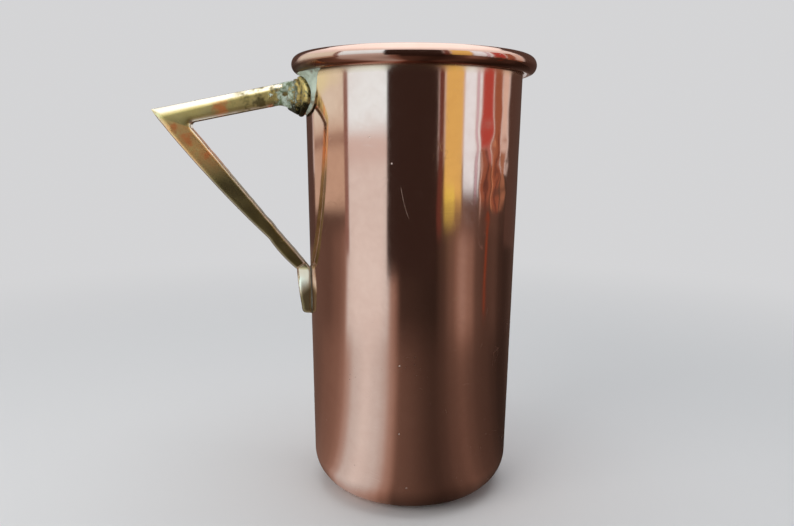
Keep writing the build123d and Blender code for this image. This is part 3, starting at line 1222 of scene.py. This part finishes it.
def turning_rings(tree, place):
    """Rings round the axis, as the lathe's tool leaves them."""
    given = add_node(tree, "SeparateXYZ", {0: place}).outputs
    flat = add_node(tree, "CombineXYZ", {0: given["X"], 1: given["Y"]}).outputs[0]
    from_axis = vector_sum(tree, "LENGTH", {0: flat})
    sockets = {"W": work_out(tree, "MULTIPLY", from_axis, rings_per_metre), "Detail": 3.0}
    return add_node(tree, "TexNoise", sockets, noise_dimensions="1D").outputs["Fac"]


def make_underside_copper():
    material, tree, shader, place = new_metal("underside_copper")
    film = cloudy(tree, place, 18.0, 0.2)
    scuffs = scratched(tree, place, 7.0, 0.012)
    fine_scuffs = scratched(tree, place, 3.5, 0.02)
    dark_specks = specked(tree, place, 1.9, 0.22, 0.46)
    colour = lay_over(
        tree, brown_copper, (film, 1.0, dull_copper), (scuffs, 0.6, bright_copper),
        (fine_scuffs, 0.4, bright_copper), (dark_specks, 0.8, dark_oxide))
    rough = add_up(tree, 0.22, (film, 0.12), (scuffs, -0.08), (dark_specks, 0.3))
    normal = stack_bumps(tree, (turning_rings(tree, place), 10), (scuffs, -12), (fine_scuffs, -8))
    link_finish(tree, shader, colour, rough, normal)
    return material


inside_copper = make_inside_copper()
underside_copper = make_underside_copper()

# %% [markdown]
# ## Where heat and damp have coloured the copper
# Soldering heats the copper round the boss, and it keeps a golden colour that fades downwards and
# along the rim. Damp stays in the corner under the rim and darkens it. Both are worked out for each
# point from its distance to shield and rim, and a slow wander keeps their edges from looking ruled.
# The lower half of the rim's bead gets painted shade, from its height and its distance out from the wall.

# %% Masks on the body and its three finishes


def inside_wear(across, z):
    """Tarnish round the stud's burr, inside the jug."""
    ring = 1 - smooth_step(0.0, 4 * MM, math.hypot(across, z - boss_z) - 5 * MM)
    return 0.0, ring * 0.7, 0.0


def body_wear(place):
    """Heat tint, tarnish and painted shade on the bead's lower half at one point, in body_masks' order."""
    x, y, z = place
    across = abs(math.remainder(math.atan2(y, x) - math.pi, 2 * math.pi)) * mouth_radius
    out = math.hypot(x, y) - wall_out(z)
    if out < -0.5 * sheet:
        return inside_wear(across, z)
    wander = noise.noise(Vector((x, y, z)) / (6 * MM)) * 3.0 * MM
    spread = smooth_step(boss_z - 5 * MM, boss_z + 7 * MM, z) * 20 * MM
    near = across - shield_half_width(min(z, boss_z + 9.3 * MM)) + wander
    by_shield = 1 - smooth_step(-1 * MM, 3 * MM + spread, near)
    by_shield *= smooth_step(boss_z - 9 * MM, boss_z + 3 * MM, z)
    band = (1 - smooth_step(0.3 * MM, 2.6 * MM, bead_bottom - z)) * 0.6
    band *= 1 - 0.35 * smooth_step(25 * MM, 95 * MM, across + wander)
    on_wall = 1 - smooth_step(0.1 * MM, 0.4 * MM, out)
    from_corner = math.hypot(max(0.0, out), max(0.0, bead_bottom - z))
    corner = 1 - smooth_step(0.2 * MM, 1.6 * MM, from_corner)
    corner *= 0.35 + 0.65 * (1 - smooth_step(16 * MM, 60 * MM, across))
    under = smooth_step(bead_bottom + 4.0 * MM, bead_bottom + 1.6 * MM, z)
    under *= smooth_step(0.1 * MM, 0.6 * MM, out) * (1 - smooth_step(20 * MM, 31 * MM, across + 2 * wander))
    # painted shade: the lower half of the rim's bead is darkened all round
    film = smooth_step(rim_z + 0.6 * MM, rim_z - 1.4 * MM, z) * smooth_step(0.2 * MM, 0.8 * MM, out)
    return max(by_shield, band) * on_wall, max(corner, under * 0.85), film


def dress_body(piece):
    """One finish each for the outside with the rim, the inside, and the base's underside."""
    mesh = piece.data
    for material in (outside_copper, inside_copper, underside_copper):
        mesh.materials.append(material)
    outside, inside, underside = range(3)
    base_edge = base_radius - heel_radius + 1.0 * MM
    base_points = sum(1 for p in outside_line if p.x < base_edge and p.y < 4 * MM)
    outside_points = len(outside_line) + len(over_rim) - 1
    column = [underside] * base_points + [outside] * (outside_points - base_points)
    column += [inside] * (len(profile) - 1 - outside_points)
    mesh.polygons.foreach_set("material_index", column * segments + [underside, inside] * segments)


paint_points(copper_body.data, body_masks, [body_wear(vertex.co) for vertex in copper_body.data.vertices])
dress_body(copper_body)
print("copper finishes:", [material.name for material in copper_body.data.materials])

# %% [markdown]
# ## Brass finishes
# Cast brass ages to an olive gold. Where the zinc has gone it turns coppery red, where hands
# rub it stays bright, with a painted highlight on those edges, and where water stands it grows pale
# green verdigris, which is a crust and no longer a metal. So the crust mask lowers Metallic as well
# as changing the colour. Painted shade darkens the handle's underside, its faces towards the wall
# and its lower strut.

# %% Colours of brass, linear
bright_brass = (1.00, 0.77, 0.34, 1)
# paler than brass: a painted highlight, with wear, on the handle's edges
highlight_and_rubbed_brass = (1.00, 0.87, 0.74, 1)
olive_brass = (0.80, 0.60, 0.21, 1)
brown_brass = (0.25, 0.155, 0.055, 1)
# tarnish with painted shade, for the handle's lower and inner parts
dark_patina_and_shade = (0.085, 0.055, 0.022, 1)
red_patch = (1.00, 0.33, 0.11, 1)
# grime with painted shade, for the boss's lower half, the flange's edge and the arm's underside
black_grime_and_shade = (0.035, 0.030, 0.014, 1)
pale_verdigris = (0.62, 0.71, 0.60, 1)
deep_verdigris = (0.17, 0.21, 0.11, 1)

# %% Crust over brass


def grow_crust(tree, shader, place, colour):
    """Verdigris, and grime with painted shade, over the brass; returns the colour, roughness terms and one
    bump.
    """
    crust = read_mask(tree, "crust")
    grime_and_shade = read_mask(tree, "grime_and_shade")
    grain = cloudy(tree, place, 1.0, 0.14)
    patchy = cloudy(tree, place, 2.2, 0.10)
    off_middle = work_out(tree, "SUBTRACT", grain, 0.5)
    ragged = work_out(tree, "ADD", crust, work_out(tree, "MULTIPLY", off_middle, 0.35))
    cover = between(tree, ragged, 0.32, 0.58)
    ring = work_out(tree, "MULTIPLY", between(tree, ragged, 0.20, 0.36), 0.75)
    green = blend_colours(tree, patchy, deep_verdigris, pale_verdigris)
    swing = work_out(tree, "MULTIPLY", grime_and_shade, work_out(tree, "MULTIPLY", off_middle, 0.6))
    dirt_and_shade = work_out(tree, "ADD", grime_and_shade, swing, clamp=True)
    dirty_and_shaded = between(tree, dirt_and_shade, 0.15, 0.85)
    colour = lay_over(tree, colour, (ring, 1.0, brown_brass), (cover, 1.0, green), (dirty_and_shaded, 1.0, black_grime_and_shade))
    shine = work_out(tree, "SUBTRACT", 1.0, work_out(tree, "MULTIPLY", cover, 0.95))
    tree.links.new(shine, shader.inputs["Metallic"])
    return colour, [(cover, 0.5), (dirt_and_shade, 0.3)], [(work_out(tree, "MULTIPLY", grain, ring), 100)]


# %% Brass of any age


def make_brass(name, age, roughness, red, crusted=False, worked=False):
    """Brass of a given age from 0, bright, to 1, brown; red is how strong its coppery parts are.

    A crusted piece has masks for crust, and for grime with painted shade, painted on its points. A worked
    one has masks for its satin faces, for its browner parts, tarnish with painted shade, for its coppery
    parts and for its edges rubbed bright with a painted highlight, and its polishing lines run lengthwise.
    """
    material, tree, shader, place = new_metal(name)
    film = cloudy(tree, place, 11.0, 0.20, 0.62 - 0.26 * age)
    stain = cloudy(tree, place, 3.0, 0.08, 0.80 - 0.22 * age)
    dark_specks = specked(tree, place, 1.3, 0.16, 0.55)
    stray = scratched(tree, place, 7.0, 0.010)
    if worked:
        coppery = read_mask(tree, "coppery")
        way = add_node(tree, "Attribute", attribute_name="lengthwise").outputs["Vector"]
    else:
        coppery = cloudy(tree, place, 9.0, 0.07, 0.59)
        way = place
    filed = lines_along(tree, way, 9.0, 0.30, 0.30)
    terms = [(film, 0.08), (filed, 0.10), (stain, 0.14)]
    bumps = [(filed, 1.2), (stain, -3), (dark_specks, -10)]
    colour = lay_over(tree, bright_brass, (film, 1.0, olive_brass), (stain, 0.6, brown_brass))
    if worked:
        # painted shade with tarnish, from the age mask
        colour = lay_over(tree, colour, (read_mask(tree, "age"), 0.88, dark_patina_and_shade))
    colour = lay_over(
        tree, colour, (coppery, red, red_patch), (dark_specks, 0.6, brown_brass), (stray, 0.4, bright_brass))
    if worked:
        # painted highlight, with wear, on the handle's edges
        colour = lay_over(tree, colour, (read_mask(tree, "rubbed_and_highlight"), 0.88, highlight_and_rubbed_brass))
        terms.append((read_mask(tree, "satin"), 0.20))
    if crusted:
        colour, rougher, grains = grow_crust(tree, shader, place, colour)
        terms += rougher
        bumps += grains
    link_finish(tree, shader, colour, add_up(tree, roughness, *terms), stack_bumps(tree, *bumps))
    return material


aged_brass = make_brass("aged_brass", 0.35, 0.16, 0.95, crusted=True, worked=True)
brass_handle.data.materials.append(aged_brass)
print(brass_handle.name, "wears", aged_brass.name)

# %% [markdown]
# ## Crust on the boss
# Polish reaches the tops of the rings and never their grooves. So grime is painted into the grooves,
# grime with painted shade on the flange's edge and underneath, and verdigris on the side towards the arm.

# %% Crust on the boss, held in its grooves
groove_offsets = (2.7 * MM, 4.5 * MM)


def boss_wear(place):
    """Crust, and grime with painted shade: grime fills the grooves, grime and painted shade lie on the
    flange's edge and the lower half, crust lies beside them.
    """
    offset = math.hypot(place.x, place.y) - wall_out(place.z)
    oval = math.hypot(place.y / flange_half_width, (place.z - boss_z) / flange_half_height)
    grooves = max(1 - smooth_step(0.0, 0.9 * MM, abs(offset - groove)) for groove in groove_offsets)
    groove_here = grooves * smooth_step(0.98, 0.82, oval)
    # painted shade with grime on the flange's edge and the boss's lower half
    edge = smooth_step(2.8 * MM, 1.8 * MM, offset) * smooth_step(0.80, 0.97, oval)
    below = smooth_step(boss_z - 0.4 * MM, boss_z - 5.0 * MM, place.z)
    wander = noise.noise(place / (2.4 * MM))
    fine = noise.noise(place / (0.9 * MM))
    arm_side = smooth_step(3.0 * MM, 5.6 * MM, offset) * 0.85
    crust = held(arm_side * 0.75 + wander * 0.6 + fine * 0.3 + groove_here * 0.2 - 0.04)
    return crust, held(max(edge * 0.7, groove_here * 0.55, below) + wander * 0.2)


boss_rows = [boss_wear(vertex.co) for vertex in ringed_boss.data.vertices]
paint_points(ringed_boss.data, ("crust", "grime_and_shade"), boss_rows)
boss_brass = make_brass("boss_brass", 0.72, 0.36, 0.25, crusted=True)
ringed_boss.data.materials.append(boss_brass)
print(ringed_boss.name, "wears", boss_brass.name)

# %% [markdown]
# ## Verdigris and solder
# Verdigris is chalky: no metal shine, high roughness, and a surface of fine lumps. Its colour
# runs from grey green in the hollows to nearly white on the lumps, with brown where the brass
# below shows through.

# %% Verdigris
chalk_green = (0.60, 0.70, 0.58, 1)
grey_green = (0.36, 0.43, 0.33, 1)
brown_stain = (0.20, 0.13, 0.06, 1)
solder_grey = (0.42, 0.41, 0.37, 1)


def make_verdigris():
    material, tree, shader, place = new_metal("verdigris", metallic=0.0)
    broad = cloudy(tree, place, 6.0, 0.15)
    fine = cloudy(tree, place, 1.5, 0.16)
    grains = cloudy(tree, place, 0.5, 0.2)
    stain = cloudy(tree, place, 3.4, 0.05, 0.62)
    colour = lay_over(
        tree, chalk_green, (broad, 1.0, grey_green), (fine, 0.5, pale_verdigris), (stain, 0.7, brown_stain))
    normal = stack_bumps(tree, (fine, 160), (grains, 60))
    link_finish(tree, shader, colour, between(tree, fine, 0.0, 1.0, 0.62, 0.9), normal)
    return material


def make_solder():
    material, tree, shader, place = new_metal("old_solder")
    broad = cloudy(tree, place, 2.5, 0.15)
    fine = cloudy(tree, place, 0.8, 0.2)
    colour = lay_over(tree, solder_grey, (broad, 1.0, brown_stain), (fine, 0.4, grey_green))
    rough = between(tree, fine, 0.0, 1.0, 0.40, 0.65)
    link_finish(tree, shader, colour, rough, stack_bumps(tree, (fine, 30)))
    return material


verdigris = make_verdigris()
old_solder = make_solder()
verdigris_shield.data.materials.append(verdigris)
print(verdigris_shield.name, "wears", verdigris.name)

# %% [markdown]
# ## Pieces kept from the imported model
# Wire, saddle, stud, rivets, burrs and the solder film are small or hidden, and their solid shapes
# are good enough as they are. They only take a finish.

# %% Finishes of the solid pieces that are kept
plate_brass = make_brass("plate_brass", 0.7, 0.3, 0.3)
fastener_brass = make_brass("fastener_brass", 0.45, 0.22, 0.2)
kept_solids = {
    "rim_wire": inside_copper,
    "boss_saddle": plate_brass,
    "boss_stud": fastener_brass,
    "palm_rivets": fastener_brass,
    "boss_burr": inside_copper,
    "palm_burrs": inside_copper,
    "palm_solder": old_solder,
}
for node_name, finish in kept_solids.items():
    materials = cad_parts[node_name].data.materials
    materials.clear()
    materials.append(finish)
    print(node_name, "wears", finish.name)

# %% [markdown]
# ## Studio
# The jug stands on a plain pale floor that runs out into an equally pale background, so no
# horizon shows. The floor is open where the foot's ring hides it, so that the underside gets
# some light, and it can be looked through from below.

# %% Floor
backdrop = (0.66, 0.66, 0.67, 1)
floor_tone = (0.78, 0.78, 0.785, 1)
floor_reach = 3.0
floor_opening = 0.0246
floor_steps = 96
fade_start = 0.14
fade_end = 0.62


def level_ring(r, z, steps):
    """Evenly spaced points of a level circle round the axis."""
    turns = [2 * math.pi * step / steps for step in range(steps)]
    return [(r * math.cos(angle), r * math.sin(angle), z) for angle in turns]


def show_surface(tree, surface):
    tree.links.new(surface, tree.nodes["Material Output"].inputs["Surface"])


def make_floor_material():
    """Pale and matt near the jug, turning into the background's own tone within a metre."""
    material, tree, shader = new_material("pale_floor")
    shader.inputs["Base Color"].default_value = floor_tone
    shader.inputs["Roughness"].default_value = 0.9
    shader.inputs["Specular IOR Level"].default_value = 0.1
    place = add_node(tree, "TexCoord").outputs["Object"]
    sockets = {"Value": vector_sum(tree, "LENGTH", {0: place}), "From Min": fade_start, "From Max": fade_end}
    far = add_node(tree, "MapRange", sockets, interpolation_type="SMOOTHSTEP").outputs["Result"]
    glow = add_node(tree, "Emission", {"Color": backdrop, "Strength": 1.0}).outputs[0]
    seen = add_node(tree, "MixShader", {0: far, 1: shader.outputs[0], 2: glow}).outputs[0]
    clear = add_node(tree, "BsdfTransparent").outputs[0]
    from_below = add_node(tree, "NewGeometry").outputs["Backfacing"]
    show_surface(tree, add_node(tree, "MixShader", {0: from_below, 1: seen, 2: clear}).outputs[0])
    return material


def make_floor():
    points = level_ring(floor_reach, 0, floor_steps) + level_ring(floor_opening, 0, floor_steps)
    floor = add_mesh("floor", points, grid_faces(2, floor_steps, close_columns=True), smooth=False)
    floor.data.materials.append(make_floor_material())
    print("floor reaches", floor_reach, "metres")


make_floor()

# %% Background


def make_background():
    """The camera and the metal see the backdrop's tone; the rest only gets a soft light from it."""
    world = bpy.data.worlds.new("studio")
    scene.world = world
    world.use_nodes = True
    tree = world.node_tree
    ray = add_node(tree, "LightPath").outputs
    seen = work_out(tree, "MAXIMUM", ray["Is Camera Ray"], ray["Is Glossy Ray"])
    seen = work_out(tree, "MAXIMUM", seen, ray["Is Transmission Ray"])
    light = add_node(tree, "Background", {"Color": (0.9, 0.95, 1.0, 1), "Strength": 0.35}).outputs[0]
    background = add_node(tree, "Background", {"Color": backdrop, "Strength": 1.0}).outputs[0]
    either = add_node(tree, "MixShader", {0: seen, 1: light, 2: background}).outputs[0]
    tree.links.new(either, tree.nodes["World Output"].inputs["Surface"])
    print("world", world.name)


make_background()

# %% [markdown]
# ## Cards
# A mirror-like pot shows its surroundings more than its own colour, so cards stand round it:
# pale ones for the bright bands, dark ones between them for depth. They are seen only in
# reflections, and each fades out at its edges, except at one that stands on the floor.

# %% Table of the cards
low_top = 0.50
high_top = 0.90
cards = [
    # start and end in degrees off the camera's side; distance, bottom and top in metres; colour; fade
    ("dark_middle", -25.8, 25.2, 0.48, 0.0, 0.42, (0.035, 0.022, 0.0185), 0.014),
    ("brown_edge", 25, 31, 0.60, 0.02, low_top, (0.14, 0.048, 0.038), 0.01),
    ("left_wall", -128, -71, 0.66, 0.043, low_top, (0.57, 0.49, 0.40), 0.010),
    ("window_post", -73.5, -68, 0.60, 0.0, low_top, (0.26, 0.16, 0.14), 0.006),
    ("side_window", -126, -71, 0.64, 0.141, low_top, (0.74, 0.84, 0.78), 0.028),
    ("sill", -126, -71, 0.63, 0.124, 0.148, (0.25, 0.16, 0.13), 0.012),
    ("window_card", -68.5, -22, 0.62, 0.133, low_top, (0.88, 1.27, 1.50), 0.020),
    ("amber_card", 31, 51.5, 0.62, 0.045, low_top, (0.79, 0.63, 0.21), 0.02),
    ("yellow_foot", 32, 44, 0.61, 0.04, 0.085, (0.90, 0.86, 0.18), 0.02),
    ("pale_strip", 51.5, 65.5, 0.62, 0.064, low_top, (0.88, 1.20, 1.44), 0.012),
    ("lilac_line", 65.5, 68.5, 0.62, 0.060, low_top, (0.62, 0.55, 0.72), 0.006),
    ("pale_thread", 68.5, 72, 0.62, 0.065, low_top, (0.84, 1.10, 1.30), 0.008),
    ("red_card", 72, 88, 0.64, 0.122, low_top, (0.46, 0.085, 0.07), 0.02),
    ("coppery_card", 72, 88, 0.645, 0.05, 0.14, (0.31, 0.125, 0.075), 0.02),
    ("left_glint", 73.5, 75.0, 0.63, 0.045, 0.118, (0.78, 0.66, 0.58), 0.006),
    ("dark_seam", 79.5, 82.5, 0.63, 0.045, 0.132, (0.12, 0.05, 0.04), 0.006),
    ("right_glint", 90.0, 91.6, 0.63, 0.055, 0.140, (0.74, 0.42, 0.24), 0.006),
    ("far_seam", 95.5, 98.0, 0.63, 0.050, 0.150, (0.13, 0.055, 0.045), 0.006),
    ("brown_card", 88, 101.5, 0.66, 0.05, low_top, (0.33, 0.13, 0.075), 0.02),
    ("pale_line", 101.5, 114, 0.66, 0.125, low_top, (0.72, 0.64, 0.59), 0.03),
    ("coppery_line", 101.5, 114, 0.665, 0.05, 0.15, (0.36, 0.19, 0.12), 0.03),
    ("red_stick", 81, 85, 0.34, 0.0, 0.085, (0.22, 0.055, 0.025), 0.006),
    ("dark_far_right", 114, 167, 0.70, 0.0, high_top, (0.088, 0.056, 0.046), 0.05),
    ("pale_behind", 169, 191, 0.74, 0.0, high_top, (0.80, 0.80, 0.80), 0.05),
    ("dark_far_left", -167, -128, 0.70, 0.0, high_top, (0.088, 0.056, 0.046), 0.05),
]
print(len(cards), "cards")

# %% Glowing mesh that only reflections see


def glow_material(name, colour):
    """Plain glowing tone, faded by the mesh's strength; without a colour it is the painted tone."""
    material, tree, _ = new_material(name)
    tone = (*colour, 1) if colour else add_node(tree, "Attribute", attribute_name="tone").outputs["Color"]
    glow = add_node(tree, "Emission", {"Color": tone, "Strength": 1.0}).outputs[0]
    clear = add_node(tree, "BsdfTransparent").outputs[0]
    strength = read_mask(tree, "strength")
    show_surface(tree, add_node(tree, "MixShader", {0: strength, 1: clear, 2: glow}).outputs[0])
    return material


def set_card(name, points, faces, shares, colour=None, tones=None):
    card = add_mesh(name, points, faces)
    card.data.attributes.new("strength", "FLOAT", "POINT").data.foreach_set("value", shares)
    if tones:
        painted = card.data.attributes.new("tone", "FLOAT_COLOR", "POINT")
        painted.data.foreach_set("color", [c for tone in tones for c in tone])
    card.data.materials.append(glow_material(name, colour))
    card.visible_camera = False
    card.visible_diffuse = False
    card.visible_shadow = False


# %% Curved cards round the jug
facing = -math.pi / 2 - heading
card_columns = 40
card_rows = 24


def round_the_jug(degrees, distance, z):
    """A place so many degrees off the camera's side of the jug."""
    angle = facing + math.radians(degrees)
    return (distance * math.cos(angle), distance * math.sin(angle), z)


def make_card(name, start, end, distance, low, high, colour, fade):
    """A curved card round the jug."""
    points, shares = [], []
    width = math.radians(end - start) * distance
    for row in range(card_rows):
        z = low + (high - low) * row / (card_rows - 1)
        from_end = (high - z) if low <= 0 else min(z - low, high - z)
        for column in range(card_columns):
            along = column / (card_columns - 1)
            points.append(round_the_jug(start + (end - start) * along, distance, z))
            from_side = min(along, 1 - along) * width
            shares.append(smooth_step(0.0, fade, from_side) * smooth_step(0.0, fade, from_end))
    set_card(name, points, grid_faces(card_rows, card_columns), shares, colour)


for card_row in cards:
    make_card(*card_row)
print("last card", cards[-1][0])

# %% [markdown]
# ## Ceiling and table
# The rim and the upper bevel of the arm look upwards, so they need a ceiling, brightest overhead.
# The heel looks down at the table: light towards the window, dark elsewhere, and shaded by the
# jug itself close to the foot. A disc just over the floor carries these tones.

# %% Ceiling
ceiling_height = 0.85
ceiling_reach = 2.6
ceiling_steps = 72
ceiling_rings = 12
ceiling_colour = (1.28, 1.42, 1.50)


def make_ceiling():
    """A broad ceiling, brightest overhead, where the rim and the arm's upper bevel mirror it."""
    points, shares = [], []
    for ring in range(ceiling_rings + 1):
        r = ceiling_reach * ring / ceiling_rings
        points += level_ring(r, ceiling_height, ceiling_steps)
        overhead = smooth_step(1.0, 0.45, r)
        tone = smooth_step(ceiling_reach, ceiling_reach * 0.8, r) * (0.30 + 0.70 * overhead)
        shares += [tone] * ceiling_steps
    faces = grid_faces(ceiling_rings + 1, ceiling_steps, close_columns=True)
    set_card("ceiling", points, faces, shares, ceiling_colour)


make_ceiling()
print("ceiling at", ceiling_height, "metres")

# %% Apron, the table's tones round the jug
apron_near = 0.026
apron_far = 2.9
apron_height = 0.0003
apron_steps = 240
apron_rings = 60
foot_shade_end = 0.055
table_steps = [0.20, 0.34, 0.70, 0.92]
table_tones = [
    # degrees off the camera's side; how bright the table is near the foot, further out and far off
    (-180, 0.16, 0.14, 0.20), (-128, 0.12, 0.12, 0.12), (-120, 0.13, 0.12, 0.09),
    (-100, 0.17, 0.11, 0.09), (-84, 0.20, 0.16, 0.09), (-75, 0.26, 0.22, 0.10),
    (-68, 0.42, 0.88, 0.90), (-58, 0.74, 0.93, 0.90), (-45, 0.88, 0.93, 0.90),
    (-33, 0.76, 0.92, 0.90), (-26, 0.60, 0.84, 0.88), (-19, 0.35, 0.32, 0.10),
    (-10, 0.12, 0.045, 0.034), (24, 0.050, 0.028, 0.034), (32, 0.065, 0.06, 0.08),
    (42, 0.10, 0.14, 0.13), (54, 0.13, 0.34, 0.14), (64, 0.10, 0.24, 0.12),
    (73, 0.075, 0.10, 0.10), (84, 0.065, 0.075, 0.09), (98, 0.045, 0.085, 0.10),
    (110, 0.03, 0.045, 0.06), (120, 0.03, 0.035, 0.05), (150, 0.06, 0.06, 0.07),
    (180, 0.16, 0.14, 0.20),
]


def tones_towards(degrees):
    for (a0, *low), (a1, *high) in zip(table_tones, table_tones[1:]):
        if a0 <= degrees <= a1:
            share = smooth_step(a0, a1, degrees)
            return [t0 + (t1 - t0) * share for t0, t1 in zip(low, high)]
    return list(table_tones[0][1:])


def table_colour(degrees, r):
    """Bright parts of the table are cool and dark ones brown; its tone sinks close to the foot."""
    by_foot, halfway, far_off = tones_towards(degrees)
    tone = by_foot + (halfway - by_foot) * smooth_step(table_steps[0], table_steps[1], r)
    tone += (far_off - halfway) * smooth_step(table_steps[2], table_steps[3], r)
    tone *= 0.25 + 0.75 * smooth_step(apron_near, foot_shade_end, r)
    cool = smooth_step(0.15, 0.75, tone)
    return tone * (1.10 - 0.27 * cool), tone * (0.73 + 0.21 * cool), tone * (0.59 + 0.40 * cool), 1


def make_apron():
    """A disc just over the floor whose tone changes round the jug, as a table by a window does."""
    points, shares, tones = [], [], []
    for ring in range(apron_rings + 1):
        r = apron_near * (apron_far / apron_near) ** (ring / apron_rings)
        for step in range(apron_steps):
            degrees = -180 + 360 * step / apron_steps
            points.append(round_the_jug(degrees, r, apron_height))
            tones.append(table_colour(degrees, r))
        shares += [smooth_step(apron_far, apron_far * 0.8, r)] * apron_steps
    faces = grid_faces(apron_rings + 1, apron_steps, close_columns=True)
    set_card("apron", points, faces, shares, tones=tones)


make_apron()
print("apron from", apron_near, "to", apron_far, "metres")

# %% [markdown]
# ## Lamps
# One broad lamp stands where the window is and gives the jug its side light; the cards already
# show the window in the copper, so this lamp isn't mirrored. A second, overhead, lights rim and
# floor evenly.

# %% Lamps
window_bottom = 0.155
window_height = 0.55
window_width = 0.50
window_middle = window_bottom + window_height / 2
window_tone = (1.0, 0.98, 0.95)


def make_softbox(name, place, towards, width, depth, radiance, colour=(1, 1, 1), mirrored=True):
    """A square-edged soft lamp; radiance is how bright its face looks, where 1 is white."""
    data = bpy.data.lights.new(name, "AREA")
    data.shape = "RECTANGLE"
    data.size = width
    data.size_y = depth
    data.energy = radiance * math.pi * width * depth
    data.color = colour
    lamp = bpy.data.objects.new(name, data)
    lamp.location = place
    lamp.rotation_euler = (Vector(place) - Vector(towards)).to_track_quat("Z", "Y").to_euler()
    lamp.visible_glossy = mirrored
    scene.collection.objects.link(lamp)
    print("lamp", name)


window_place = round_the_jug(-44.0, 0.62, window_middle)
window_aim = (0, 0, window_middle)
make_softbox(
    "window", window_place, window_aim, window_width, window_height, 2.4, window_tone, mirrored=False)
make_softbox("overhead", (0.05, 0.10, 1.15), (0, 0, 0.1), 1.1, 0.9, 1.9)
